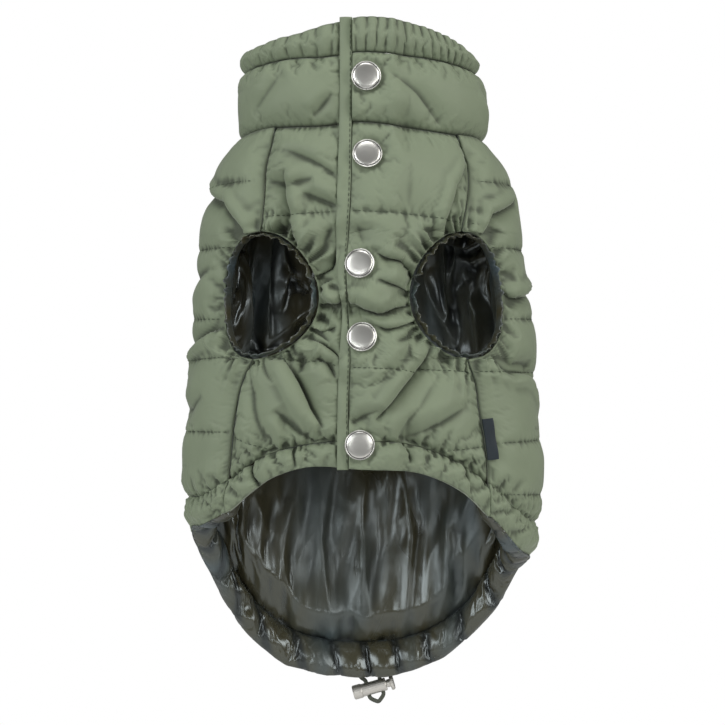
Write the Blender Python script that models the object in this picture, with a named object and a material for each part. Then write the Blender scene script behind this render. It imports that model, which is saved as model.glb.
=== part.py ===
"""Quilted dog vest, worn and filled out: front and back shell panels, collar, hem, lining,
armhole frills, snap fasteners, a folded label and a drawcord with a two-hole cord lock.

Frame: metres, +Z up, the snapped front faces -Y. The origin is the middle of the neck seam.
Every cloth piece is a wall over one body form. A place on the form is an angle round it
(0 at the front, positive to the wearer's side at +X) and a height, and a wall is raised from
it by an inner and an outer offset.
"""
import math

import bpy
import bmesh
import numpy as np
from mathutils import Matrix, Vector

MM = 0.001
GAP = 0.3                    # between neighbouring pieces, in mm
SEAM_TRIM = 0.2              # cut off each piece at a seam between one band and the next

# --- body form, mm: the plain inner face of the cloth, filled out ---------------------------
SECTION_COLUMNS = ("height", "left", "right", "front", "back")
SECTIONS = (
    (56, 52.0, 49.0, 30.0, 31.0),
    (40, 54.0, 51.5, 31.0, 32.0),
    (27, 56.0, 54.5, 32.0, 33.0),
    (15, 56.0, 57.0, 33.0, 34.0),
    (0, 57.0, 57.5, 34.0, 35.0),
    (-10, 60.5, 59.0, 36.0, 37.0),
    (-21, 66.5, 65.0, 39.0, 41.0),
    (-33, 70.5, 70.0, 42.0, 44.0),
    (-51, 74.5, 73.0, 44.0, 46.0),
    (-75, 76.0, 76.0, 45.0, 48.0),
    (-105, 79.0, 80.0, 46.0, 50.0),
    (-135, 81.0, 80.5, 46.5, 51.0),
    (-165, 83.0, 84.5, 46.5, 51.0),
    (-190, 82.0, 82.8, 46.0, 49.5),
    (-215, 80.5, 80.0, 44.0, 46.0),
    (-240, 77.5, 79.5, 40.0, 41.0),
    (-258, 73.5, 74.0, 35.0, 35.0),
    (-276, 69.5, 70.0, 28.0, 27.5),
)

# --- level lines round the body, mm -----------------------------------------------------------
LEVEL_COLUMNS = ("angle", "collar_top", "casing_seam", "neck_seam", "hem_seam", "hem")
LEVELS = (
    (-180, 42.0, 29.0, -6.0, -260.5, -274.0),
    (-170, 42.0, 29.0, -6.0, -260.0, -273.5),
    (-155, 42.0, 29.0, -6.0, -256.0, -270.5),
    (-140, 42.0, 29.0, -6.0, -245.0, -262.5),
    (-125, 41.0, 28.5, -6.0, -225.0, -247.0),
    (-110, 40.0, 28.0, -6.0, -202.0, -222.0),
    (-90, 39.0, 27.5, -5.5, -185.0, -201.0),
    (-65, 39.5, 29.5, -3.0, -181.0, -195.5),
    (-50, 42.0, 31.0, -1.5, -173.0, -188.0),
    (-35, 44.0, 32.0, -1.5, -161.5, -174.5),
    (-20, 47.5, 32.0, -1.5, -156.0, -167.0),
    (0, 51.0, 34.0, 0.0, -153.7, -167.5),
    (20, 50.0, 33.0, -2.0, -157.0, -170.0),
    (35, 47.5, 32.0, -3.5, -166.0, -179.0),
    (50, 44.0, 30.5, -4.7, -178.5, -194.0),
    (65, 40.0, 29.0, -5.0, -190.0, -207.0),
    (90, 36.0, 27.5, -7.0, -197.0, -214.5),
    (110, 38.0, 28.0, -6.5, -206.0, -223.5),
    (125, 40.0, 28.5, -6.0, -223.5, -243.5),
    (140, 41.0, 29.0, -6.0, -243.0, -259.5),
    (155, 42.0, 29.0, -6.0, -255.0, -269.0),
    (170, 42.0, 29.0, -6.0, -260.0, -273.5),
    (180, 42.0, 29.0, -6.0, -260.5, -274.0),
)

# --- seams from front to back pieces, degrees by height ---------------------------------------
SEAM_COLUMNS = ("height", "left", "right")
SEAMS = (
    (5, -48.0, 52.0),
    (-14, -45.0, 53.0),
    (-35, -41.0, 46.0),
    (-55, -40.0, 40.0),
    (-115, -41.0, 39.0),
    (-126, -45.5, 42.5),
    (-140, -47.8, 43.8),
    (-165, -49.5, 45.0),
    (-180, -51.5, 46.0),
    (-215, -54.0, 50.0),
)

# --- armholes: middle height, half height in mm, reach to front and back in degrees -----------
ARMHOLE_HEIGHT = -83.7
ARMHOLE_HALF = 31.0
ARMHOLE_FRONT = {-1: 15.5, 1: 17.0}
ARMHOLE_BACK = {-1: 58.5, 1: 60.0}

# --- front opening, mm -------------------------------------------------------------------------
STRIP_COLUMNS = ("height", "free_edge", "stitch_line")
STRIP = (
    (50, -10.3, -4.6),
    (0, -10.5, -4.8),
    (-35, -11.5, -5.3),
    (-75, -11.6, -7.4),
    (-88, -9.6, -7.0),
    (-110, -10.3, -5.6),
    (-135, -11.3, -6.3),
    (-170, -11.6, -6.3),
)
UNDERLAP = 11.0              # how far the under front reaches past the middle
LIFT = 3.5                   # height of the over front above the form, on the under front
LIFT_FULL = 13.0             # the lift is full on this side of the opening ...
LIFT_ENDS = 22.0             # ... and has run out here
PRESS_STARTS = 26.0          # the under front is pressed flat from here across ...
PRESS_FADE = 8.0             # ... over this width

# --- cloth thicknesses, mm ---------------------------------------------------------------------
LINING = 1.0
WALL = 2.3                   # padded cloth pressed flat at a seam
BACK_INNER = LINING + GAP
PUFF = 3.8                   # rise of the padding between quilting lines
COLLAR_PUFF = 4.2
QUILT_SPREAD = 7.5           # distance from a seam at which the padding is nearly full
CASING_BULGE = 3.4
CASING_WAVES = 50            # each wave round a gathered band takes three columns of points
CASING_WAVE = 0.75
HEM_BULGE = 2.8
HEM_WAVE = 0.5
ROLL_BULGE = 6.0             # the drawn-in hem lining bulges to the inside
ROLL_WALL = 1.6
ROLL_CREASE = 0.6
FRILL_WAVES = 20
FRILL_WAVE = 0.8
FRILL_WIDTH = 2.8
FRILL_DEPTH = 5.0
FRILL_INSET = 1.1            # from the round of the armhole, whose edge runs in short chords

# --- quilting lines: each runs from one place to the next, degrees and mm ----------------------
QUILT_COLUMNS = ("angle_1", "height_1", "angle_2", "height_2")
QUILTING = (
    (-44, -46.0, -5, -43.5), (-5, -43.5, 12, -44.5), (12, -44.5, 48, -49.0),
    (-16, -85.3, 18, -85.3),
    (-44, -112.0, -5, -118.5), (-5, -118.5, 20, -119.5), (20, -119.5, 42, -121.0),
    (-50, -151.5, -33, -158.0), (14, -160.5, 48, -156.5),
    (52, -28.0, 180, -30.0), (180, -30.0, 314, -28.0),
    (40, -60.0, 180, -62.0), (180, -62.0, 318, -60.0),
    (58, -95.0, 180, -94.0), (180, -94.0, 300, -95.0),
    (42, -120.5, 180, -123.0), (180, -123.0, 314, -113.0),
    (44, -155.5, 180, -152.0), (180, -152.0, 310, -150.0),
    (46, -180.0, 180, -187.0), (180, -187.0, 270, -184.0),
    (105, -224.0, 180, -222.0), (180, -222.0, 250, -222.0),
)

# --- large folds: soft troughs, or ridges where the depth is negative --------------------------
FOLD_COLUMNS = ("angle_1", "height_1", "angle_2", "height_2", "depth", "half_width")
FOLDS = (
    (-27.0, -33.0, -24.0, -58.0, 2.4, 4.0),
    (-23.0, -12.0, -9.0, -25.0, 1.2, 5.0),
    (-37.0, -27.0, -18.0, -29.0, 1.2, 5.0),
    (-26.0, -115.0, -14.0, -143.0, 2.8, 4.0),
    (-35.0, -123.0, -31.0, -159.0, 2.4, 4.0),
    (-27.0, -141.0, -15.0, -155.0, 1.5, 4.0),
    (-20.0, -66.0, -8.0, -74.0, 1.5, 4.0),
    (-16.0, -79.0, -6.0, -82.5, 2.0, 3.5),
    (-16.0, -97.0, -6.0, -90.0, 2.2, 3.5),
    (-21.0, -111.0, -8.0, -98.0, 1.8, 4.0),
    (35.0, -35.0, 30.0, -55.0, 2.2, 4.0),
    (4.5, -60.0, 18.5, -68.0, 1.3, 4.0),
    (0.0, -81.5, 17.0, -75.5, 2.0, 3.5),
    (0.0, -90.0, 17.5, -92.0, 2.2, 3.5),
    (1.5, -97.0, 19.0, -109.0, 1.8, 4.0),
    (21.5, -113.0, 5.5, -146.0, 2.8, 4.0),
    (31.0, -144.0, 11.0, -154.0, 1.5, 5.0),
    (11.0, 29.0, 37.0, -2.0, 2.0, 7.0),
    (-19.0, 14.0, -14.0, 9.0, 1.2, 5.0),
    (282.0, -31.0, 308.0, -60.0, 2.0, 5.0),
    (78.0, -37.0, 52.0, -54.0, 2.0, 5.0),
    (60.0, -78.0, 84.0, -80.0, 1.4, 4.0),
    (95.0, -66.0, 150.0, -76.0, 1.4, 6.0),
    (210.0, -74.0, 262.0, -80.0, 1.4, 6.0),
    (120.0, -136.0, 168.0, -132.0, 1.4, 6.0),
    (200.0, -164.0, 240.0, -172.0, 1.4, 6.0),
    (96.0, -168.0, 140.0, -176.0, 1.4, 6.0),
)
FRONT_GRID = (9, (6, 8, 10))  # columns; rows above, beside and below the armholes
BACK_GRID = (24, (6, 8, 10))
FOLD_RADIUS = 65.0           # mm of cloth to a radian round the body, for distances on it

# --- snap fasteners, mm; the cloth under each leans by the two slopes ---------------------------
SNAP_COLUMNS = ("across", "height", "slope_across", "slope_up")
SNAPS = (
    (1.9, 22.0, 0.0, 0.0),
    (2.4, -16.0, 0.0, 0.0),
    (-1.0, -69.0, 0.18, -0.16),
    (0.0, -104.0, 0.10, -0.20),
    (-1.0, -155.5, 0.0, 0.0),
)
SNAP_RADIUS = 7.2
SNAP_SEAT = 12.0             # the cloth is pressed flat out to here
SNAP_CLEAR = 0.5             # the cap is flat and the cloth under it is round
SNAP_FADE = 24.0             # and full again here

# --- label in the right lower seam, mm ----------------------------------------------------------
LABEL_TOP = -143.5
LABEL_BOTTOM = -163.5
LABEL_WIDTH = 4.2
LABEL_WALL = 1.2
LABEL_CLEAR = 0.1            # besides the usual gap

# --- drawcord and cord lock, mm -----------------------------------------------------------------
CORD_RADIUS = 1.1
LOCK_START = (-4.5, -286.2)  # closed end of the barrel: across and height
LOCK_TILT = 15.6             # degrees, the plunger end higher
LOCK_BEHIND = 31.5           # from the middle plane to the back
BARREL_LENGTH = 17.6
BARREL_RADIUS = 3.7
BORE_RADIUS = 2.5
BORE_START = 2.6
HOLES = (7.7, 14.9)          # along the barrel from its closed end
HOLE_RADIUS = 1.4
TRAVEL = 1.8                 # how far the plunger presses in
ROD_RADIUS = 2.1
HEAD_RADIUS = 3.95
HEAD_THICK = 2.0
LOCK_SEGMENTS = 24


# ================================ curves and the body form ====================================

def column(table, names, name):
    """One named column of a table as an array."""
    return np.array([row[names.index(name)] for row in table], dtype=float)


def through(x, xs, ys):
    """A smooth curve through points: cubic pieces with the points' own average slopes."""
    if xs[0] > xs[-1]:
        xs, ys = xs[::-1], ys[::-1]
    slopes = np.gradient(ys, xs)
    x = np.clip(x, xs[0], xs[-1])
    i = np.clip(np.searchsorted(xs, x) - 1, 0, len(xs) - 2)
    step = xs[i + 1] - xs[i]
    t = (x - xs[i]) / step
    rise = t * t * (3 - 2 * t)
    bend = step * t * (1 - t) * ((1 - t) * slopes[i] - t * slopes[i + 1])
    return ys[i] + (ys[i + 1] - ys[i]) * rise + bend


def ease(t):
    """0 up to t = 0, 1 from t = 1, and smooth between."""
    t = np.clip(t, 0.0, 1.0)
    return t * t * (3 - 2 * t)


def size_at(height, name):
    heights = column(SECTIONS, SECTION_COLUMNS, "height")
    return through(height, heights, column(SECTIONS, SECTION_COLUMNS, name))


def level(angle, name):
    """Height in mm of a level line at an angle in degrees."""
    wrapped = (np.asarray(angle, dtype=float) + 180.0) % 360.0 - 180.0
    angles = column(LEVELS, LEVEL_COLUMNS, "angle")
    return through(wrapped, angles, column(LEVELS, LEVEL_COLUMNS, name))


def seam_angle(height, side):
    name = "left" if side < 0 else "right"
    heights = column(SEAMS, SEAM_COLUMNS, "height")
    return through(height, heights, column(SEAMS, SEAM_COLUMNS, name))


def strip_line(height, name):
    heights = column(STRIP, STRIP_COLUMNS, "height")
    return through(height, heights, column(STRIP, STRIP_COLUMNS, name))


def widths(angle, height):
    """Half-width and depth of the oval that a place lies on."""
    turn = np.radians(angle)
    wide = np.where(np.sin(turn) < 0, size_at(height, "left"), size_at(height, "right"))
    deep = np.where(np.cos(turn) > 0, size_at(height, "front"), size_at(height, "back"))
    return wide, deep


def place(angle, height, offset):
    """Points in metres: on the oval of that height, moved out square to it."""
    turn = np.radians(angle)
    wide, deep = widths(angle, height)
    normal = np.stack([np.sin(turn) / wide, -np.cos(turn) / deep], axis=-1)
    normal /= np.linalg.norm(normal, axis=-1, keepdims=True)
    flat = np.stack([wide * np.sin(turn), -deep * np.cos(turn)], axis=-1)
    flat = flat + normal * np.asarray(offset)[..., None]
    return np.concatenate([flat, np.asarray(height)[..., None]], axis=-1) * MM


def angle_across(across, height):
    """The angle at the front of a place so many mm to the side of the middle."""
    side = np.where(np.asarray(across) < 0, size_at(height, "left"), size_at(height, "right"))
    return np.degrees(np.arcsin(across / side))


def gap_angle(height):
    """Half of the gap at a side seam, as an angle."""
    return math.degrees(0.7 * GAP / FOLD_RADIUS) + 0 * height


# ================================ padding, folds and seats ====================================

def distance_to(angle, height, row):
    """Distance in mm on the cloth to a line, and how far along it, from 0 to 1."""
    scale = math.radians(FOLD_RADIUS)
    ax, az = row[0] * scale, row[1]
    bx, bz = row[2] * scale, row[3]
    px, pz = angle * scale, height
    length = (bx - ax) ** 2 + (bz - az) ** 2
    along = np.clip(((px - ax) * (bx - ax) + (pz - az) * (bz - az)) / length, 0.0, 1.0)
    away = np.hypot(px - ax - along * (bx - ax), pz - az - along * (bz - az))
    return away, along


def padding(angle, height, edge):
    """From 0 on a seam or quilting line to 1 on the crown between them."""
    near = edge
    for row in QUILTING:
        near = np.minimum(near, distance_to(angle, height, row)[0])
    return 1.0 - np.exp(-(near / QUILT_SPREAD) ** 1.4)


def folds(angle, height):
    """Depth in mm of all large folds at a place, each fading towards its ends."""
    depth = np.zeros(np.broadcast(angle, height).shape)
    for row in FOLDS:
        away, along = distance_to(angle, height, row)
        fade = 0.35 + 0.65 * np.sin(math.pi * along)
        depth = depth + row[4] * fade * np.exp(-(away / row[5]) ** 2)
    return depth


def across_of(angle, height):
    wide, deep = widths(angle, height)
    return wide * np.sin(np.radians(angle))


def snap_seats(angle, height):
    """How free the cloth is of the snaps, from 0 under one to 1, and its lean in mm."""
    free = np.ones(np.broadcast(angle, height).shape)
    lean = np.zeros_like(free)
    across = across_of(angle, height)
    for snap_across, snap_height, slope_across, slope_up in SNAPS:
        dx, dz = across - snap_across, height - snap_height
        fade = ease((np.hypot(dx, dz) - SNAP_SEAT) / (SNAP_FADE - SNAP_SEAT))
        near = np.where(np.cos(np.radians(angle)) > 0, 1.0 - fade, 0.0)
        free = free * (1.0 - near)
        lean = lean + near * (slope_across * dx + slope_up * dz)
    return free, lean


def over_lift(angle, height):
    """Rise of the over front, which lies on the under front."""
    across = across_of(angle, height)
    on_front = angle < 90.0
    return np.where(on_front, LIFT * ease((LIFT_ENDS - across) / (LIFT_ENDS - LIFT_FULL)), 0.0)


def under_press(angle, height, start):
    """1 where the under front is free, 0 where the over front lies on it."""
    across = across_of(angle, height)
    return np.where(angle > start, 1.0 - ease((across + PRESS_STARTS) / PRESS_FADE), 1.0)


# ================================ meshes =======================================================

def material(name, colour, roughness, metallic=0.0):
    mat = bpy.data.materials.new(name)
    mat.use_nodes = True
    shader = mat.node_tree.nodes["Principled BSDF"]
    shader.inputs["Base Color"].default_value = (*colour, 1.0)
    shader.inputs["Roughness"].default_value = roughness
    shader.inputs["Metallic"].default_value = metallic
    return mat


def add_object(name, points, faces, mat):
    mesh = bpy.data.meshes.new(name)
    mesh.from_pydata([tuple(p) for p in points], [], faces)
    mesh.materials.append(mat)
    mesh.shade_smooth()
    mesh.set_sharp_from_angle(angle=math.radians(50))
    obj = bpy.data.objects.new(name, mesh)
    bpy.context.collection.objects.link(obj)
    return obj


def wall(name, outer, inner, mat):
    """A closed wall between two grids of points, rows from top to bottom and columns in the
    order of rising angle."""
    rows, cols = outer.shape[:2]
    count = rows * cols
    points = np.concatenate([outer.reshape(-1, 3), inner.reshape(-1, 3)])
    faces = []

    def at(row, col):
        return row * cols + col

    for r in range(rows - 1):
        for c in range(cols - 1):
            a, b, c2, d = at(r, c), at(r + 1, c), at(r + 1, c + 1), at(r, c + 1)
            for face in ((a, b, c2), (a, c2, d)):
                faces.append(face)
                faces.append(tuple(count + i for i in face[::-1]))
    rim = [at(0, c) for c in range(cols)]
    rim += [at(r, cols - 1) for r in range(1, rows)]
    rim += [at(rows - 1, c) for c in range(cols - 2, -1, -1)]
    rim += [at(r, 0) for r in range(rows - 2, 0, -1)]
    for a, b in zip(rim, rim[1:] + rim[:1]):
        faces.append((a, b, count + b, count + a))
    return add_object(name, points, faces, mat)


def ring_loft(name, sections, mat):
    """A closed ring of closed sections, such as a frill round an armhole."""
    count, sides = sections.shape[:2]
    faces = []
    for i in range(count):
        j = (i + 1) % count
        for k in range(sides):
            m = (k + 1) % sides
            faces.append((i * sides + k, j * sides + k, j * sides + m, i * sides + m))
    return add_object(name, sections.reshape(-1, 3), faces, mat)


def turned(name, profile, segments, mat):
    """A solid turned about +Z; the profile runs from the axis at the bottom, out and up, to
    the axis at the top."""
    points = [(0.0, 0.0, profile[0][1])]
    rings = profile[1:-1]
    for radius, height in rings:
        for k in range(segments):
            turn = 2 * math.pi * k / segments
            points.append((radius * math.cos(turn), radius * math.sin(turn), height))
    points.append((0.0, 0.0, profile[-1][1]))
    last = len(points) - 1
    faces = []
    for k in range(segments):
        m = (k + 1) % segments
        faces.append((0, 1 + m, 1 + k))
        for r in range(len(rings) - 1):
            low, high = 1 + r * segments, 1 + (r + 1) * segments
            faces.append((low + k, low + m, high + m, high + k))
        top = 1 + (len(rings) - 1) * segments
        faces.append((top + k, top + m, last))
    return add_object(name, np.array(points) * MM, faces, mat)


# ================================ cloth pieces =================================================

def front_edges(side):
    """Angles of a front piece's two edges as functions of height, lower angle first."""
    if side < 0:
        return (lambda h: seam_angle(h, -1) + gap_angle(h),
                lambda h: angle_across(UNDERLAP, h))
    return (lambda h: angle_across(strip_line(h, "stitch_line") + GAP, h),
            lambda h: seam_angle(h, 1) - gap_angle(h))


def back_edges():
    return (lambda h: seam_angle(h, 1) + gap_angle(h),
            lambda h: 360.0 + seam_angle(h, -1) - gap_angle(h))


def bite(height):
    """0 away from an armhole's heights, 1 at its middle, round between."""
    reach = 1.0 - ((height - ARMHOLE_HEIGHT) / ARMHOLE_HALF) ** 2
    return np.sqrt(np.clip(reach, 0.0, 1.0))


def line_heights(edges, line, across):
    """Heights of a level line at shares of the way across a piece, whose edges move with the
    height: the two are settled together in a few rounds."""
    heights = level(edges[0](0.0) + 0 * across, line)
    for _ in range(6):
        first, last = edges[0](heights), edges[1](heights)
        heights = level(first + across * (last - first), line)
    return heights


def panel_grid(edges, bites, top, bottom, cols, rows):
    """Angles and heights of a panel that has armhole bites in its side edges.

    bites holds the reach in degrees that the low and the high edge are cut back to, or None.
    rows holds the number of steps above, beside and below the armholes."""
    across = np.linspace(0.0, 1.0, cols + 1)
    middle = ARMHOLE_HEIGHT
    high = line_heights(edges, top, across) - SEAM_TRIM
    low = line_heights(edges, bottom, across) + SEAM_TRIM
    half = ARMHOLE_HALF
    upper = np.linspace(0.0, 1.0, rows[0] + 1)[:-1, None]
    beside = middle + half * np.cos(np.linspace(0.0, math.pi, rows[1] + 1))[:, None]
    lower = np.linspace(0.0, 1.0, rows[2] + 1)[1:, None]
    heights = np.concatenate([
        high + upper * (middle + half - high),
        beside + 0 * across,
        middle - half + lower * (low - middle + half)])
    first, last = edges[0](heights), edges[1](heights)
    if bites[0] is not None:
        first = first + (bites[0] - edges[0](middle)) * bite(heights)
    if bites[1] is not None:
        last = last + (bites[1] - edges[1](middle)) * bite(heights)
    return first + across * (last - first), heights, first, last


def edge_distance(angles, heights, first, last, top, bottom):
    """Distance in mm on the cloth to the nearest edge of a panel."""
    scale = math.radians(FOLD_RADIUS)
    sides = np.minimum(angles - first, last - angles) * scale
    ends = np.minimum(level(angles, top) - heights, heights - level(angles, bottom))
    return np.maximum(np.minimum(sides, ends), 0.0)


def front_piece(name, side, mat):
    edges = front_edges(side)
    cut = side * ARMHOLE_FRONT[side]
    bites = (cut, None) if side < 0 else (None, cut)
    angles, heights, first, last = panel_grid(edges, bites, "neck_seam", "hem_seam", *FRONT_GRID)
    edge = edge_distance(angles, heights, first, last, "neck_seam", "hem_seam")
    free, lean = snap_seats(angles, heights)
    rise = np.maximum(PUFF * padding(angles, heights, edge) - folds(angles, heights), -1.0)
    if side < 0:
        inner = lean
        outer = inner + WALL + under_press(angles, heights, -90.0) * free * rise
    else:
        inner = over_lift(angles, heights) + lean
        outer = inner + WALL + free * rise
    wall(name, place(angles, heights, outer), place(angles, heights, inner), mat)


def back_piece(mat):
    bites = (ARMHOLE_BACK[1], 360.0 - ARMHOLE_BACK[-1])
    angles, heights, first, last = panel_grid(back_edges(), bites, "neck_seam", "hem_seam",
                                              *BACK_GRID)
    edge = edge_distance(angles, heights, first, last, "neck_seam", "hem_seam")
    rise = PUFF * padding(angles, heights, edge) - folds(angles, heights)
    outer = BACK_INNER + WALL + np.maximum(rise, -1.0)
    inner = np.full_like(outer, BACK_INNER)
    wall("back_panel", place(angles, heights, outer), place(angles, heights, inner), mat)


def back_lining(mat):
    """The lining keeps the back's columns, so that the two walls stay parallel."""
    bites = (ARMHOLE_BACK[1], 360.0 - ARMHOLE_BACK[-1])
    angles, heights, first, last = panel_grid(back_edges(), bites, "neck_seam", "hem_seam",
                                              *BACK_GRID)
    outer = np.full_like(angles, LINING)
    inner = np.zeros_like(outer)
    wall("back_lining", place(angles, heights, outer), place(angles, heights, inner), mat)


def band(name, edges, top, bottom, cols, rows, offsets, mat, panel_cols=None):
    """A band between two level lines. offsets gives inner and outer from angles, heights and
    the share of the way down. A band under a panel keeps to the chords of its columns."""
    across = np.linspace(0.0, 1.0, cols + 1)
    down = np.linspace(0.0, 1.0, rows + 1)[:, None]
    knots = across if panel_cols is None else np.linspace(0.0, 1.0, panel_cols + 1)
    high = np.interp(across, knots, line_heights(edges, top, knots)) - SEAM_TRIM
    low = line_heights(edges, bottom, across) + SEAM_TRIM
    heights = high + down * (low - high)
    first, last = edges[0](heights), edges[1](heights)
    angles = first + across * (last - first)
    waves = np.cos(2 * math.pi * np.arange(cols + 1) / 3)
    inner, outer = offsets(angles, heights, down + 0 * angles, waves)
    wall(name, place(angles, heights, outer), place(angles, heights, inner), mat)


def collar_edges():
    """From the strip at the opening, round the back, to the underlap."""
    return (lambda h: angle_across(strip_line(h, "stitch_line") + GAP, h),
            lambda h: 360.0 + angle_across(UNDERLAP, h))


def collar_offsets(angles, heights, down, waves):
    free = np.where(angles > 180.0, 1.0, snap_seats(angles, heights)[0])
    press = under_press(angles, heights, 270.0)
    swell = np.sin(math.pi * down) ** 0.6
    rise = COLLAR_PUFF * swell - folds(angles, heights)
    inner = over_lift(angles, heights)
    return inner, inner + WALL + press * free * np.maximum(rise, -1.0)


def casing_offsets(angles, heights, down, waves):
    """The gathered casing at the collar's top: a roll with waves round it."""
    press = under_press(angles, heights, 270.0)
    swell = np.sin(math.pi * np.clip(0.12 + 0.88 * down, 0.0, 1.0)) ** 0.7
    tall = CASING_WAVE * (1.0 + 0.3 * np.sin(np.radians(5.0 * angles)))
    inner = over_lift(angles, heights)
    return inner, (inner + WALL - 0.5
                   + press * (CASING_BULGE * swell + tall * waves * (0.35 + swell)))


def hem_offsets(side):
    """The padded hem band, puckered at its seam."""
    def offsets(angles, heights, down, waves=0.0):
        inner = np.full(angles.shape, BACK_INNER) if side == 0 else np.zeros(angles.shape)
        press = np.ones_like(inner)
        free = np.ones_like(inner)
        if side < 0:
            press = under_press(angles, heights, -90.0)
        if side > 0:
            inner = over_lift(angles, heights)
        if side:
            free = snap_seats(angles, heights)[0]
        swell = np.sin(math.pi * np.clip(0.06 + 0.84 * down, 0.0, 1.0)) ** 0.7
        pucker = HEM_WAVE * waves * (1.0 - down)
        return inner, inner + WALL + press * free * (HEM_BULGE * swell + pucker)
    return offsets


def roll_offsets(angles, heights, down, waves):
    """The hem lining, drawn in by the cord: it bulges inwards and is creased across."""
    swell = np.sin(math.pi * np.clip(0.04 + 0.86 * down, 0.0, 1.0)) ** 0.7
    creases = ROLL_CREASE * waves * swell
    outer = np.full(angles.shape, LINING)
    return outer - ROLL_WALL - ROLL_BULGE * swell + creases, outer


def placket_strip(mat):
    """The narrow strip along the over front's free edge, from the collar's top to the hem."""
    heights = np.concatenate([np.linspace(level(0.0, "collar_top"), 0.0, 9)[:-1],
                              np.linspace(0.0, level(0.0, "hem"), 30)])[:, None]
    across = np.linspace(0.0, 1.0, 4)
    free_edge, stitched = strip_line(heights, "free_edge"), strip_line(heights, "stitch_line")
    angles = angle_across(free_edge + across * (stitched - free_edge), heights)
    full = heights + 0 * angles
    bulge = 1.2 * np.sin(math.pi * (0.15 + 0.7 * across))
    free, lean = snap_seats(angles, full)
    inner = LIFT + lean
    outer = inner + WALL - 0.3 + bulge * free
    wall("placket_strip", place(angles, full, outer), place(angles, full, inner), mat)


def armhole_frill(name, side, mat):
    """A thin ring of gathered lining round an armhole, just inside the panels' edges."""
    steps, sides = FRILL_WAVES * 3, 5
    turn = np.linspace(0.0, 2 * math.pi, steps, endpoint=False)[:, None]
    half = ARMHOLE_HALF - FRILL_INSET - FRILL_WIDTH / 2
    shrink = math.degrees((FRILL_INSET + FRILL_WIDTH / 2) / FOLD_RADIUS)
    wave = FRILL_WAVE * np.sin(FRILL_WAVES * turn)
    heights = ARMHOLE_HEIGHT + half * np.cos(turn)
    seam = abs(seam_angle(ARMHOLE_HEIGHT, side))
    reach = np.where(np.sin(turn) > 0, seam - ARMHOLE_FRONT[side] - shrink,
                     ARMHOLE_BACK[side] - seam - shrink)
    centre = abs(seam_angle(heights, side)) - reach * np.sin(turn)
    around = np.linspace(0.0, 2 * math.pi, sides, endpoint=False) + 0.3
    inwards = FRILL_WIDTH / 2 * np.cos(around)
    angles = centre + np.degrees(inwards * np.sin(turn) / FOLD_RADIUS)
    rises = heights - inwards * np.cos(turn)
    offset = 2.0 + wave + FRILL_DEPTH / 2 * np.sin(around)
    if side < 0:
        angles = -angles
    sections = place(angles, rises, offset + 0 * angles)
    if side > 0:
        sections = sections[:, ::-1]
    ring_loft(name, sections, mat)


def label(mat):
    """A folded tag caught in the right lower seam, lying on the back piece's crowns."""
    heights = np.linspace(LABEL_TOP, LABEL_BOTTOM, 9)[:, None]
    across = np.linspace(0.0, 1.0, 5)
    width = math.degrees(LABEL_WIDTH / FOLD_RADIUS)
    angles = seam_angle(heights, 1) + gap_angle(heights) + width * across
    full = heights + 0 * angles
    edge = (angles - seam_angle(heights, 1)) * math.radians(FOLD_RADIUS)
    crown = (PUFF * padding(angles, full, edge) - folds(angles, full)).max(axis=0)
    inner = BACK_INNER + WALL + GAP + LABEL_CLEAR + crown + 0 * full
    wall("label", place(angles, full, inner + LABEL_WALL), place(angles, full, inner), mat)


# ================================ hard pieces ==================================================

def front_point(across, height, offset):
    angle = angle_across(np.array(across), np.array(float(height)))
    return Vector(place(angle, np.array(float(height)), np.array(offset)))


def snaps(mat):
    """Five caps, each lying on the over front with the cloth's own lean."""
    top = LIFT + WALL + GAP + SNAP_CLEAR
    profile = ((0, 0), (6.6, 0), (SNAP_RADIUS, 0.5), (6.7, 1.6), (5.6, 1.45), (0, 1.7))
    for number, (across, height, slope_across, slope_up) in enumerate(SNAPS, start=1):
        middle = front_point(across, height, top)
        side = front_point(across + 1.0, height, top + slope_across)
        above = front_point(across, height + 1.0, top + slope_up)
        x_axis = (side - middle).normalized()
        z_axis = x_axis.cross(above - middle).normalized()
        if z_axis.y > 0:
            z_axis = -z_axis
        y_axis = z_axis.cross(x_axis)
        turn = Matrix((x_axis, y_axis, z_axis)).transposed().to_4x4()
        cap = turned(f"snap_cap_{number}", profile, 20, mat)
        cap.matrix_world = Matrix.Translation(middle) @ turn


def lock_frame():
    """The barrel's closed end and its axis, with local +Z along the barrel."""
    tilt = math.radians(LOCK_TILT)
    axis = Vector((math.cos(tilt), 0.0, math.sin(tilt)))
    start = Vector((LOCK_START[0], LOCK_BEHIND, LOCK_START[1])) * MM
    side = Vector((0.0, 1.0, 0.0))
    down = side.cross(axis)
    turn = Matrix((down, side, axis)).transposed().to_4x4()
    return start, axis, Matrix.Translation(start) @ turn


def cutter(name, mesh_maker, matrix):
    """A hidden solid that is cut from another."""
    mesh = bpy.data.meshes.new(name)
    bm = bmesh.new()
    mesh_maker(bm)
    bm.to_mesh(mesh)
    bm.free()
    obj = bpy.data.objects.new(name, mesh)
    bpy.context.collection.objects.link(obj)
    obj.matrix_world = matrix
    obj.hide_render = True
    obj.display_type = "WIRE"
    return obj


def cut(obj, tool):
    change = obj.modifiers.new(tool.name, "BOOLEAN")
    change.operation = "DIFFERENCE"
    change.object = tool


def cylinder(radius, length):
    def make(bm):
        bmesh.ops.create_cone(bm, cap_ends=True, segments=16, radius1=radius * MM,
                              radius2=radius * MM, depth=length * MM)
    return make


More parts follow.
